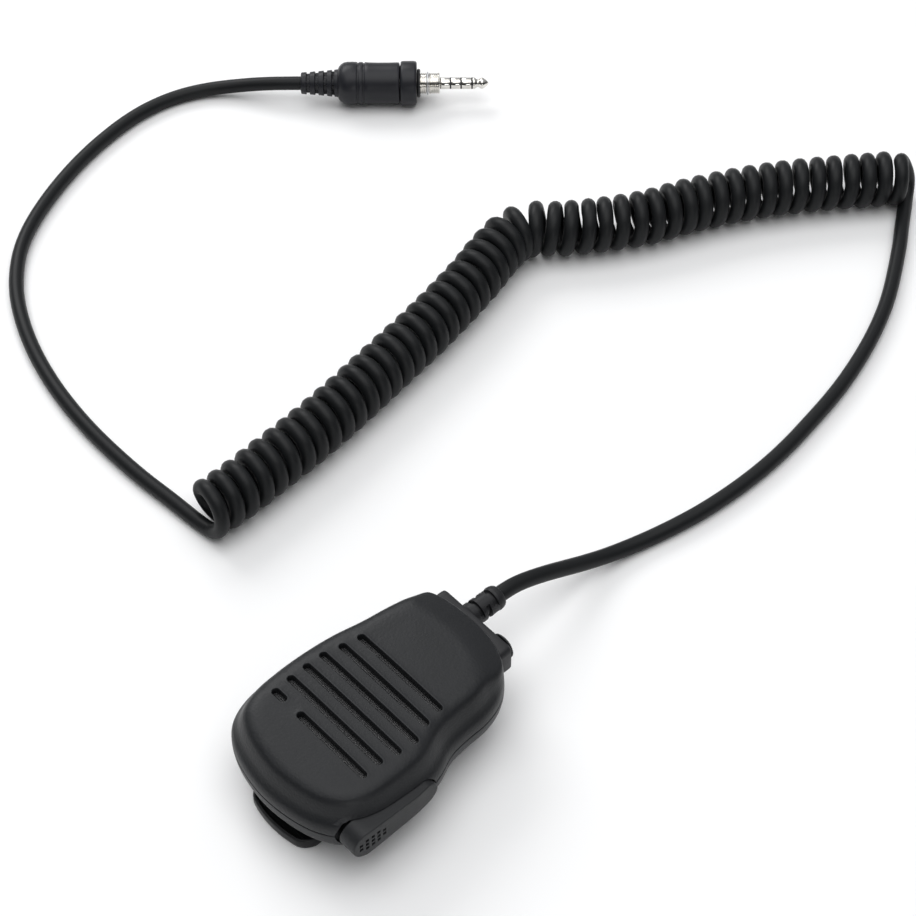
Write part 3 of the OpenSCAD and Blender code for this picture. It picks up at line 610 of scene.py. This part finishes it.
NORMALS = []
for i in range(COLUMNS):
    t = (Vector(OUTLINE[(i + 2) % COLUMNS]) - Vector(OUTLINE[i - 2])).normalized()
    NORMALS.append((t.y, -t.x))


def inset_ring(inset, z):
    """Outline moved inwards; inset and z are numbers or functions of the column."""
    out = []
    for i, (p, n) in enumerate(zip(OUTLINE, NORMALS)):
        d = inset(i) if callable(inset) else inset
        h = z(i) if callable(z) else z
        out.append((p[0] - d * n[0], p[1] - d * n[1], h))
    return out


SEAM, ROOF = 14.0, 22.4
BACK, FLOOR_Z, WALL = 7.6, 9.4, 1.8


def capsule(x0, x1, y, r, grow=0.0, across=8, along=1.6):
    """Round-ended slot outline, anticlockwise."""
    r = r + grow
    a, b = x0 + (r - grow), x1 - (r - grow)
    n = max(2, int((b - a) / along))
    out = [(lerp(a, b, k / n), y - r) for k in range(n)]
    out += [(b + r * math.sin(math.pi * k / across), y - r * math.cos(math.pi * k / across))
            for k in range(across)]
    out += [(lerp(b, a, k / n), y + r) for k in range(n)]
    out += [(a - r * math.sin(math.pi * k / across), y + r * math.cos(math.pi * k / across))
            for k in range(across)]
    return out


# ---------------------------------------------------------------- front shell

# Slots: both ends in x and the row, counted from the cord's end
SLOTS = [(-14.8, 14.3, 0), (-15.8, 15.2, 1), (-17, 17.1, 2), (-17.1, 16.8, 3),
         (-17, 16, 4), (-7.5, 16.2, 5), (-16.6, -12.1, 5)]
SLOT_Y, SLOT_PITCH, SLOT_R = 8.5, 5, 0.95
SLOT_LIP = [(0.95, 0), (0.6, 0.05), (0.34, 0.11), (0.14, 0.08), (0.03, -0.07), (0, -0.28),
            (0, -1.1)]
SIDE_PROFILE = [
    (0.30, 14.08), (0.06, 14.22), (0.0, 14.5), (0.05, 15.4), (0.2, 16.3), (0.55, 17.15),
    (1.15, 17.95), (1.75, 18.9), (2.2, 20.0), (2.75, 21.4), (3.35, 22.6), (4.25, 23.5),
    (5.6, 24.05), (8.0, 24.3)]
END_PROFILE = [
    (0.30, 14.08), (0.06, 14.22), (0.0, 14.5), (0.05, 15.6), (0.1, 16.8), (0.16, 18.0),
    (0.24, 19.2), (0.34, 20.4), (0.48, 21.2), (0.8, 21.62), (1.5, 21.95), (3.0, 22.6),
    (5.2, 23.5), (8.0, 24.3)]


def end_share(i):
    """How far column i follows the profile of the cord's end, 0 to 1."""
    x, y = OUTLINE[i]
    return smooth(22.0, 30.5, y) * smooth(-20.5, -17.0, x - 0.35 * (y - 25))


side_rows = catmull(SIDE_PROFILE, 3)
end_rows = catmull(END_PROFILE, 3)
EDGE_ROW = 33
SHARES = [end_share(i) for i in range(COLUMNS)]


def face_height(x, y):
    """The face's height: its soft edge by the distance in from the outline, then a slight crown."""
    near = min(range(COLUMNS), key=lambda i: (OUTLINE[i][0] - x) ** 2 + (OUTLINE[i][1] - y) ** 2)
    d = (OUTLINE[near][0] - x) * NORMALS[near][0] + (OUTLINE[near][1] - y) * NORMALS[near][1]
    w = SHARES[near]
    edge = [(lerp(a[0], b[0], w), lerp(a[1], b[1], w))
            for a, b in zip(side_rows[EDGE_ROW:], end_rows[EDGE_ROW:])]
    for (d1, z1), (d2, z2) in zip(edge, edge[1:]):
        if d < d2:
            return lerp(z1, z2, max(d - d1, 0) / (d2 - d1))
    return edge[-1][1] + 0.2 * smooth(8, 17, d)


front = Builder(HOUSING)
outer = []
for a, b in zip(side_rows[:EDGE_ROW + 1], end_rows):
    outer.append(inset_ring(lambda i: lerp(a[0], b[0], SHARES[i]),
                            lambda i: lerp(a[1], b[1], SHARES[i])))
inner = [inset_ring(d, z) for d, z in
         [(4.8, ROOF), (4.1, ROOF - 0.8), (3.0, SEAM + 5), (WALL, SEAM + 1), (WALL, SEAM + 0.08)]]
rows = front.loft(inner + outer)
top_border = (rows[-1], [p[:2] for p in outer[-1]])
roof_border = (rows[0], [p[:2] for p in inner[0]])
top_holes, roof_holes = [], []
for x0, x1, row in SLOTS:
    y = SLOT_Y - row * SLOT_PITCH
    rings = []
    for grow, dz in SLOT_LIP:
        loop = capsule(x0, x1, y, SLOT_R, grow)
        rings.append([(px, py, face_height(px, py) + dz) for px, py in loop])
    rings.append([(px, py, ROOF) for px, py in capsule(x0, x1, y, SLOT_R)])
    ids = front.loft(list(reversed(rings)))
    top_holes.append((ids[-1], [p[:2] for p in rings[0]]))
    roof_holes.append((ids[0], [p[:2] for p in rings[-1]]))
plate(front, top_border, top_holes, face_height, 1.2)
plate(front, roof_border, roof_holes, lambda x, y: ROOF, 3.0, flip=True)
front_shell = front.make("housing_front", "housing", SHELL,
                         replaces=("front_shell",))

# ---------------------------------------------------------------- rear shell

REAR_PROFILE = [
    (5.6, 7.6), (4.4, 7.62), (3.2, 7.78), (2.2, 8.14), (1.4, 8.7), (0.8, 9.4), (0.4, 10.25),
    (0.18, 11.3), (0.06, 12.4), (0.0, 13.5), (0.05, 13.78), (0.30, 13.92)]
rear = Builder(HOUSING)
outer = [inset_ring(d, z) for d, z in catmull(REAR_PROFILE, 3)]
inner = [inset_ring(d, z) for d, z in
         [(WALL, SEAM - 0.08), (WALL, SEAM - 1), (2.1, FLOOR_Z + 2), (3, FLOOR_Z + 0.6),
          (4.4, FLOOR_Z)]]
rows = rear.loft(outer + inner)
plate(rear, (rows[0], [p[:2] for p in outer[0]]), [], lambda x, y: BACK, 2.0, flip=True)
plate(rear, (rows[-1], [p[:2] for p in inner[-1]]), [], lambda x, y: FLOOR_Z, 3.0)
rear_shell = rear.make("housing_rear", "housing", SHELL,
                       replaces=("rear_shell",))


# ---------------------------------------------------------------- push-to-talk lever

# The lever's two round ends: middle in y, and radius
PTT_WIDE, PTT_TIP = (-23.3, 4.4), (-5.2, 3.45)
LEVER_FACE = 25.0
PIVOT = (20.3, -6)
SIDE_STEPS, END_STEPS = 14, 26


def tapered(grow):
    """Outline of the lever in y, z: a big round end, a small one and straight sides."""
    (y1, r1), (y2, r2) = PTT_WIDE, PTT_TIP
    r1, r2 = r1 + grow, r2 + grow
    a = math.asin((r1 - r2) / (y2 - y1))
    out = []
    for y, radius, start, end in ((y1, r1, math.pi / 2 + a, 3 * math.pi / 2 - a),
                                  (y2, r2, -math.pi / 2 - a, math.pi / 2 + a)):
        for k in range(END_STEPS + 1):
            t = lerp(start, end, k / END_STEPS)
            out.append((y + radius * math.cos(t), SEAM + radius * math.sin(t)))
    return out


def split_sides(loop):
    """Adds points along the two long sides of a tapered outline."""
    a, b = loop[:END_STEPS + 1], loop[END_STEPS + 1:]
    mids = [[tuple(lerp(p[k], q[k], s / SIDE_STEPS) for k in (0, 1)) for s in range(1, SIDE_STEPS)]
            for p, q in ((a[-1], b[0]), (b[-1], a[0]))]
    return a + mids[0] + b + mids[1]


def slant(y, line):
    """x at y on a straight line given by two of its points, each x, y."""
    (x1, y1), (x2, y2) = line
    return x1 + (x2 - x1) * (y - y1) / (y2 - y1)


LEVER_INNER = ((21.6, -2), (19.6, -28.5))
POCKET_INNER = ((21.0, -2), (18.05, -28.5))
POCKET_GAP, POCKET_WALL = 0.37, 1.2


def lever_outer(y):
    """The lever's outer face bows out slightly in the middle and falls away at the tip."""
    t = (y + 27.7) / 25.2
    return LEVER_FACE - 0.55 * smooth(0.72, 1.0, t) - 0.35 * smooth(0.22, 0.0, t)


lever = Builder(HOUSING)
LEVER_EDGE = [(0, 0.4), (0.03, 0.2), (0.09, 0.08), (0.18, 0.02), (0.32, 0)]
lever_loops = [split_sides(tapered(-shrink)) for shrink, _ in LEVER_EDGE]
rings = [[(slant(y, LEVER_INNER), y, z) for y, z in lever_loops[0]]]
for (_, below), loop in zip(LEVER_EDGE, lever_loops):
    rings.append([(max(lever_outer(y) - below, slant(y, LEVER_INNER) + 0.15), y, z)
                  for y, z in loop])
rows = lever.loft(rings)
pits = []
PITS_START, PITS_ALONG, PITS_UP = -25.5, 1.7, 1.5
for column, count in enumerate((2, 3, 3, 3, 2)):
    for k in range(count):
        cy = PITS_START + column * PITS_ALONG
        cz = SEAM + (k - (count - 1) / 2) * PITS_UP
        loops = []
        for half, deep in ((0.52, 0), (0.45, 0.07), (0.42, 0.6)):
            corners = [(cy + sx * half, cz + sz * half)
                       for sx, sz in ((-1, -1), (1, -1), (1, 1), (-1, 1))]
            loops.append((divided(corners, 0.35), deep))
        ids = lever.loft([[(lever_outer(y) - deep, y, z) for y, z in loop] for loop, deep in loops])
        lever.cap(ids[-1])
        pits.append((ids[0], loops[0][0]))
plate(lever, (rows[-1], lever_loops[-1]), pits, lambda y, z: 0, 0.9,
      lift=lambda y, z, _: (lever_outer(y), y, z))
lever.cap(rows[0])
HUB = [(0.73, 1.4), (1.5, 1.4), (1.7, 1.2), (1.7, -1.2), (1.5, -1.4), (0.73, -1.4)]
hub = lever.loft([[(*p, SEAM + z) for p in circle(*PIVOT, r, 32)] for r, z in HUB])
lever.join(hub[-1], hub[0])
lever.make("talk_lever", "lever", LEVER, replaces=("ptt_lever",))


def side_x(y):
    """Where the seam's outline is at y on the lever's side."""
    near = sorted((abs(py - y), px) for px, py in OUTLINE if px > 10)[:2]
    return (near[0][1] + near[1][1]) / 2


def skin_x(y, z):
    """Where the housing's surface is at y and z on the lever's side."""
    rows = side_rows if z > SEAM else catmull(REAR_PROFILE, 3)
    inset = min((abs(row[1] - z), row[0]) for row in rows)[1]
    return side_x(y) - inset


# The pocket's lining: a thin-walled cup that ends just under the housing's surface
well = Builder(HOUSING)
well_rings = []
for grow, sunk in ((POCKET_GAP, 0), (POCKET_GAP, 1), (1.3, 1), (1.3, 0)):
    ring = []
    for y, z in split_sides(tapered(grow)):
        deep = slant(y, POCKET_INNER) - (POCKET_WALL if grow > POCKET_GAP else 0)
        ring.append((deep if sunk else max(skin_x(y, z) - 0.35, deep + 0.1), y, z))
    well_rings.append(ring)
rows = well.loft(well_rings)
well.join(rows[-1], rows[0])
well.cap(rows[1])
well.cap(rows[2])
well.make("lever_well", "housing", SHELL)


def cutter(name, rings):
    """A closed solid through the rings, to cut with; it is removed once it has cut."""
    build = Builder(HOUSING)
    rows = build.loft(rings)
    build.cap(rows[0], flip=True)
    build.cap(rows[-1])
    mesh = bpy.data.meshes.new(name)
    mesh.from_pydata([tuple((c + s) * MM for c, s in zip(v, HOUSING)) for v in build.verts],
                     [], build.faces)
    obj = bpy.data.objects.new(name, mesh)
    SCENE.collection.objects.link(obj)
    bpy.context.view_layer.update()
    return obj


def cut(target, tools):
    """Takes the tools out of the target for good, and leaves no modifier."""
    for tool in tools:
        mod = target.modifiers.new("cut", "BOOLEAN")
        mod.operation = "DIFFERENCE"
        mod.solver = "EXACT"
        mod.object = tool
    graph = bpy.context.evaluated_depsgraph_get()
    graph.update()
    mesh = bpy.data.meshes.new_from_object(target.evaluated_get(graph))
    target.modifiers.clear()
    target.data = mesh
    mesh.polygons.foreach_set("use_smooth", [True] * len(mesh.polygons))
    mesh.set_sharp_from_angle(angle=math.radians(35))


pocket_loop = split_sides(tapered(POCKET_GAP))
pocket_tool = cutter("pocket_tool", [[(slant(y, POCKET_INNER), y, z) for y, z in pocket_loop],
                                     [(30, y, z) for y, z in pocket_loop]])


def box_rings(x0, x1, y0, y1, z0, z1):
    """The two ends of a box, across y."""
    return [[(x0, y, z0), (x1, y, z0), (x1, y, z1), (x0, y, z1)] for y in (y1, y0)]


gland_tool = cutter("gland_tool", box_rings(-12, 0, 27.5, 36, 11.1, 18.1))
JACK = (6.7, 16.2)
SCREWS = [(-11, -27), (11, -27), (-13.8, 25), (11.8, 23.8)]
SWIVEL = (0, -2.5)
jack_tool = cutter("jack_tool", [[(x, y, z) for x, z in circle(*JACK, 3.2)] for y in (36, 27.5)])
tools = [pocket_tool, gland_tool, jack_tool]
drills = [cutter("screw_drill", [[(*p, z) for p in circle(x, y, r)]
                                 for r, z in ((3.4, 7.0), (2.5, 7.9), (2.5, 9.2))])
          for x, y in SCREWS]
drills.append(cutter("swivel_drill", [[(*p, z) for p in circle(*SWIVEL, 1.55)] for z in (7, 10)]))
cut(front_shell, tools)
cut(rear_shell, tools + drills)
for tool in tools + drills:
    bpy.data.objects.remove(tool)

# ---------------------------------------------------------------- cord end of the housing

def in_end(x, z, y):
    """Outline coordinates across the cord's exit, and a height along it."""
    return (x, y, z)


GLAND = (-6.0, 15.0)
FLANGE_FACE, FLANGE_DEEP = 35.3, 1.7
END_LINE = sorted((x, y) for x, y in OUTLINE if y > 24)


def lookup(table, x):
    """Value at x of a table of pairs sorted by their first number."""
    for (x1, y1), (x2, y2) in zip(table, table[1:]):
        if x <= x2:
            return lerp(y1, y2, (x - x1) / (x2 - x1))
    return table[-1][1]


SKIN = sorted((z, inset) for inset, z in end_rows)


def on_end(x, z, y):
    """Like in_end, with the slab's back drawn onto the curved end wall."""
    back = lookup(END_LINE, x) + 0.1 - (lookup(SKIN, z) if z > SEAM else 0)
    return (x, lerp(FLANGE_FACE, back, (FLANGE_FACE - y) / FLANGE_DEEP), z)


gland = Builder(HOUSING)
flange = rounded_rect(GLAND[0] - 8.5, 10.3, 10.5, 19.6, 1.8, 6)
extruded(gland, flange, FLANGE_FACE - FLANGE_DEEP, FLANGE_FACE, on_end, edge=0.4,
         holes=[circle(*JACK, 2.9, 32)], pitch=1.2)
neck = rounded_rect(GLAND[0] - 5.8, GLAND[0] + 5.8, 11.3, 17.9, 0.5)
extruded(gland, neck, 29.5, 33.7, in_end)
gland.make("cord_gland", "housing", RUBBER, replaces=("gland_block",))


def windowed(windows, core, soft=0.05):
    """Radius function that sinks to core inside each window: start, end, middle angle and half
    width in degrees."""
    def radius(s, r, a):
        deepest = 0.0
        for start, end, middle, half in windows:
            off = abs((math.degrees(a) - middle + 180) % 360 - 180)
            across = smooth(half + 2.5, half - 2.5, off)
            along = smooth(start - soft, start + soft, s) * smooth(end + soft, end - soft, s)
            deepest = max(deepest, across * along)
        return lerp(r, min(r, core), deepest)
    return radius


def finely(profile, step, marks=()):
    """Rows of a profile at close steps, with rows at every corner and on both sides of marks."""
    stops = {s for s, _ in profile} | {m + d for m in marks for d in (-0.05, -0.02, 0.02, 0.05)}
    first, last = profile[0][0], profile[-1][0]
    n = int((last - first) / step)
    stops |= {lerp(first, last, k / n) for k in range(n + 1)}
    out = []
    for s in sorted(v for v in stops if first <= v <= last):
        if out and s - out[-1][0] < 1e-4:
            continue
        for (s1, r1), (s2, r2) in zip(profile, profile[1:]):
            if s <= s2:
                out.append((s, lerp(r1, r2, (s - s1) / (s2 - s1) if s2 > s1 else 0)))
                break
    return out


def marks_of(windows):
    return sorted({m for w in windows for m in w[:2]})


def on_exit(s, r, a):
    """Along the cord's exit: distance, radius and angle from the top towards the lever side."""
    return (GLAND[0] + r * math.sin(a), FLANGE_FACE + s, GLAND[1] + r * math.cos(a))


RELIEF_WINDOWS = [(2.3, 3.4, 0, 74), (2.3, 3.4, 180, 74), (4.5, 5.8, 90, 52), (4.5, 5.8, -90, 52),
                  (6.9, 8.3, 0, 68), (6.9, 8.3, 180, 68)]
RELIEF_PROFILE = [(0, 3.5), (0.4, 3.45), (0.8, 3.3), (8.4, 3.15), (8.7, 3.25), (9.0, 3.3),
                  (9.8, 3.18), (10.3, 3.0), (10.6, 2.8), (10.75, 2.5), (10.8, 2.2)]
relief = Builder(HOUSING)
revolved(relief, finely(RELIEF_PROFILE, 0.25, marks_of(RELIEF_WINDOWS)), on_exit, 96,
         windowed(RELIEF_WINDOWS, 2.4))
mic_relief = relief.make("relief_sleeve", "housing", RUBBER,
                         replaces=("strain_relief",))

# Jack cover: a round cap with ridges, and the stub that plugs the hole
COVER_MID, COVER_BACK = (6.5, 16.2), 35.6
COVER_ROWS = [(3.1, 0), (3.34, 0.05), (3.4, 0.15), (3.4, 0.32), (3.28, 0.44), (3.05, 0.5),
              (2.95, 0.53), (2.9, 0.62), (2.75, 0.75), (2.5, 0.82)]


def cap_y(x, z):
    """Height of the cap: a low dome with three ridges across it."""
    dx, dz = (x - COVER_MID[0]) / 2.3, (z - COVER_MID[1]) / 2.3
    inner = smooth(1.0, 0.8, math.hypot(dx, dz))
    ridge = max(0.0, math.cos(2 * math.pi * (z - COVER_MID[1]) / 1.25)) ** 0.7
    return COVER_BACK + 0.82 + 0.1 * (1 - min(1, dx * dx + dz * dz)) + inner * (0.2 * ridge - 0.05)


cover = Builder(HOUSING)
cover_loops = [circle(*COVER_MID, r, 72) for r, _ in COVER_ROWS]
rows = cover.loft([[(x, COVER_BACK + y, z) for x, z in loop]
                   for loop, (_, y) in zip(cover_loops, COVER_ROWS)])
plate(cover, (rows[-1], cover_loops[-1]), [], lambda x, z: 0, 0.17,
      lift=lambda x, z, _: (x, cap_y(x, z), z))
plate(cover, (rows[0], cover_loops[0]), [], lambda x, z: 0, 1.2,
      lift=lambda x, z, _: (x, COVER_BACK, z))
spigot = cover.loft([[(x, y, z) for x, z in circle(*JACK, r)]
                     for r, y in ((2.0, 35.65), (2.0, 34.2), (1.8, 33.9), (1.2, 33.8))])
cover.cap(spigot[0])
cover.cap(spigot[-1])
cover.make("jack_plug", "cover", RUBBER, replaces=("jack_cover",))


# ---------------------------------------------------------------- clip

def flat(x, y, z):
    return (x, y, z)


def sideways(y, z, x):
    """Outline coordinates along and up, and a height across."""
    return (x, y, z)


HINGE = (-14.5, 4.3)
ARM_W, ARM_END = 15.8, 13.5
EAR_X, EAR_W = ARM_W / 2 + 0.3, 1.3
clip_base = Builder(HOUSING)
extruded(clip_base, rounded_rect(-EAR_X - EAR_W, EAR_X + EAR_W, HINGE[0] - 3, ARM_END, 2), 6.3, 7.3,
         flat, 0.25, holes=[circle(*SWIVEL, 3.06, 48)])


def ear_loop(r, top):
    """Round end about the hinge with straight sides that run up or down to top."""
    way = 1 if top > HINGE[1] else -1
    arc = [(HINGE[0] + r * math.cos(a), HINGE[1] - way * r * math.sin(a))
           for a in [math.pi * k / 20 for k in range(21)]]
    loop = arc + [(HINGE[0] - r, top), (HINGE[0] + r, top)]
    area = sum(a[0] * b[1] - b[0] * a[1] for a, b in zip(loop, loop[1:] + loop[:1]))
    return divided(loop if area > 0 else loop[::-1], 1.2)


for x in (-EAR_X - EAR_W, EAR_X):
    extruded(clip_base, ear_loop(2.0, 6.8), x, x + EAR_W, sideways, 0.18,
             holes=[circle(*HINGE, 1.0, 32)], pitch=1.0)
clip_base.make("clip_bracket", "clip_mount", CLIP, replaces=("clip_base",))

clip_arm = Builder(HOUSING)
extruded(clip_arm, rounded_rect(-ARM_W / 2, ARM_W / 2, -21, ARM_END, 0.8), 0, 1.6, flat, 0.3)
for x in (-ARM_W / 2, ARM_W / 2 - EAR_W):
    extruded(clip_arm, ear_loop(1.9, 0.8), x, x + EAR_W, sideways, 0.18,
             holes=[circle(*HINGE, 1.06, 32)], pitch=1.0)
TEETH = [(13.5, 0.3), (13.5, 5.6), (13.1, 6.0), (12.75, 5.45), (12.4, 6.0), (12.05, 5.45),
         (11.75, 5.9), (11.7, 5.3), (11.7, 0.3)]
extruded(clip_arm, divided(TEETH, 1.0), -ARM_W / 2, ARM_W / 2, sideways, 0.12, pitch=1.5)

# Thumb tab: a shallow tray with a bowed end and a thin round rim
TAB_BOW, TAB_HALF = 2.0, 10.8
tab_loop = [(x, y + TAB_BOW * (x / TAB_HALF) ** 2 * smooth(-26, -31, y))
            for x, y in rounded_rect(-TAB_HALF, TAB_HALF, -32.5, -19.5, 3.4, steps=8, along=1)]
TAB_ROWS = [(0.9, 0.0), (0.35, 0.1), (0.08, 0.4), (0, 0.9), (0, 2.6), (0.08, 3.0), (0.28, 3.24),
            (0.5, 3.3), (0.72, 3.22), (0.88, 2.95), (0.98, 2.5), (1.1, 2.0), (1.3, 1.65),
            (1.7, 1.5)]
tab_loops = [inset_loop(tab_loop, d) for d, _ in TAB_ROWS]
rows = clip_arm.loft([[(x, y, z) for x, y in loop] for loop, (_, z) in zip(tab_loops, TAB_ROWS)])
plate(clip_arm, (rows[0], tab_loops[0]), [], lambda x, y: 0, 2.0)


def tab_floor(x, y):
    """Inside of the tray, with low grip ridges across it."""
    ridge = max(0.0, math.cos(2 * math.pi * (y + 26) / 1.6)) ** 2
    return (1.5 + 0.3 * ridge * smooth(8.4, 7.4, abs(x)) * smooth(-30.2, -29.2, y)
            * smooth(-22.4, -23.2, y))


plate(clip_arm, (rows[-1], tab_loops[-1]), [], tab_floor, 0.32)
clip_arm.make("clip_lever", "clip_jaw", CLIP, replaces=("clip_arm",))


# ---------------------------------------------------------------- plug

PLUG_START = (-192.0, 136.6, 6.65)
PLUG_ANGLE = math.radians(47.5)
BODY_FROM = 11.2


def on_plug(s, r, a):
    """Along the plug: distance, radius and angle from the top towards the far side."""
    side = r * math.sin(a)
    return (PLUG_START[0] + s * math.cos(PLUG_ANGLE) - side * math.sin(PLUG_ANGLE),
            PLUG_START[1] + s * math.sin(PLUG_ANGLE) + side * math.cos(PLUG_ANGLE),
            PLUG_START[2] + r * math.cos(a))


def turned_piece(name, body, material, profile, replaces, sides=72,
                 radius=lambda s, r, a: r, sharp=35, bored=False):
    build = Builder()
    revolved(build, profile, on_plug, sides, radius, bored)
    return build.make(name, body, material, sharp, replaces)


GROOVES = [(1.7, 2.7), (4.3, 5.3), (6.9, 7.9), (9.4, 10.1)]
PLUG_WINDOWS = [(a, b, middle, 31) for a, b in GROOVES for middle in (0, 90, 180, 270)]
plug_sleeve_profile = [(0, 2.3), (0.02, 2.9), (0.15, 3.15), (0.4, 3.25)]
for a, b in GROOVES:
    high = 3.2 + 0.085 * a
    plug_sleeve_profile += [(a - 0.12, high), (a, high - 0.12), (a + 0.06, high - 0.5),
                            (b - 0.06, high - 0.46), (b, high - 0.08), (b + 0.12, high + 0.05)]
plug_sleeve_profile += [(BODY_FROM, 4.2)]
turned_piece("plug_relief", "housing", PLUG_RUBBER,
                         finely(plug_sleeve_profile, 0.3, marks_of(PLUG_WINDOWS)),
                         ("plug_strain_relief",), 96, windowed(PLUG_WINDOWS, 2.45))

BODY_PROFILE = [(0, 4.0), (0.05, 4.35), (0.3, 4.95), (0.9, 5.62), (1.8, 6.18), (2.9, 6.4),
                (4.2, 6.42), (5.6, 6.38), (5.78, 6.3), (5.85, 6.08), (6.3, 6.08), (6.37, 6.3),
                (6.55, 6.36), (7.35, 6.33), (7.53, 6.26), (7.6, 6.02), (8.05, 6.02), (8.12, 6.22),
                (8.3, 6.3), (9.5, 6.22), (12, 6.16), (15.5, 6.18), (17.8, 6.24), (18.3, 6.2),
                (18.55, 6.05), (18.6, 5.7)]
turned_piece("plug_shell", "housing", PLUG_RUBBER,
                         [(BODY_FROM + s, r) for s, r in BODY_PROFILE], ("plug_body",), 96,
                         sharp=50)

COLLAR_FROM = 30.1
COLLAR_PROFILE = [(-0.2, 2.3), (-0.2, 5.2), (-0.12, 5.32), (0, 5.45), (0.02, 6.1), (0.12, 6.38),
                  (0.4, 6.58), (0.8, 6.65), (4.0, 6.65), (4.5, 6.56), (4.8, 6.3), (4.9, 5.9),
                  (4.88, 5.0), (4.7, 4.6), (4.6, 4.0), (4.6, 2.3)]
turned_piece("lock_collar", "screw_collar", PLUG_RUBBER,
                         [(COLLAR_FROM + s, r) for s, r in COLLAR_PROFILE], ("plug_collar",), 96,
                         bored=True)

THREAD_PITCH = 0.6
SLEEVE_FROM = COLLAR_FROM + 4.9


def thread(s, r, a):
    """Sleeve radius: a helical thread on both sides of a plain groove."""
    t = s - SLEEVE_FROM
    turn = ((t / THREAD_PITCH - a / (2 * math.pi)) % 1 - 0.5) * 2
    ridge = smooth(0.85, 0.25, abs(turn))
    band = smooth(0.35, 0.6, t) * smooth(2.75, 2.55, t) + smooth(4.0, 4.2, t) * smooth(6.6, 6.4, t)
    return r - 0.3 * band * (1 - ridge)


SLEEVE_PROFILE = [(-0.6, 3.0), (0.3, 3.2), (0.4, 3.22), (2.75, 3.22), (2.9, 3.0), (3.0, 2.75),
                  (3.62, 2.75), (3.72, 3.0), (3.9, 3.22), (6.55, 3.22), (6.8, 3.12), (6.97, 2.9),
                  (7.0, 2.4), (7.0, 2.1)]
turned_piece("threaded_sleeve", "screw_collar", NICKEL,
                         finely([(SLEEVE_FROM + s, r) for s, r in SLEEVE_PROFILE], 0.06)
                         + [(SLEEVE_FROM - 0.6, 2.1)], ("plug_sleeve",), 64, thread, bored=True)
SNAP = [(3.12, 2.7), (3.1, 3.3), (3.16, 3.42), (3.3, 3.46), (3.44, 3.42), (3.5, 3.3), (3.48, 2.7)]
turned_piece("snap_ring", "screw_collar", STEEL,
                         [(SLEEVE_FROM + s, r) for s, r in SNAP], (), 64, bored=True)

PIN_FROM = SLEEVE_FROM + 7.0
PIN_R = 1.75
CONTACTS = {"contact_barrel": (0, 3, "plug_barrel"), "contact_rear": (3.4, 6.2, "plug_ring_rear"),
            "contact_front": (6.6, 9.5, "plug_ring_front")}
for name, (a, b, node) in CONTACTS.items():
    turned_piece(name, "housing", NICKEL, [
        (PIN_FROM + a, PIN_R - 0.12), (PIN_FROM + a + 0.03, PIN_R - 0.04),
        (PIN_FROM + a + 0.1, PIN_R), (PIN_FROM + b - 0.1, PIN_R),
        (PIN_FROM + b - 0.03, PIN_R - 0.04), (PIN_FROM + b, PIN_R - 0.12)], (node,), 64)
TIP_PROFILE = [(9.9, 1.63), (9.93, 1.71), (10.0, 1.75), (10.35, 1.75), (10.6, 1.68), (10.9, 1.42),
               (11.2, 1.2), (11.45, 1.14), (11.7, 1.2), (12.0, 1.42), (12.3, 1.62), (12.6, 1.7),
               (12.9, 1.68), (13.3, 1.5), (13.8, 1.14), (14.25, 0.76), (14.55, 0.45), (14.7, 0.15)]
turned_piece("contact_tip", "housing", NICKEL,
                         [(PIN_FROM + s, r) for s, r in TIP_PROFILE], ("plug_tip",), 64)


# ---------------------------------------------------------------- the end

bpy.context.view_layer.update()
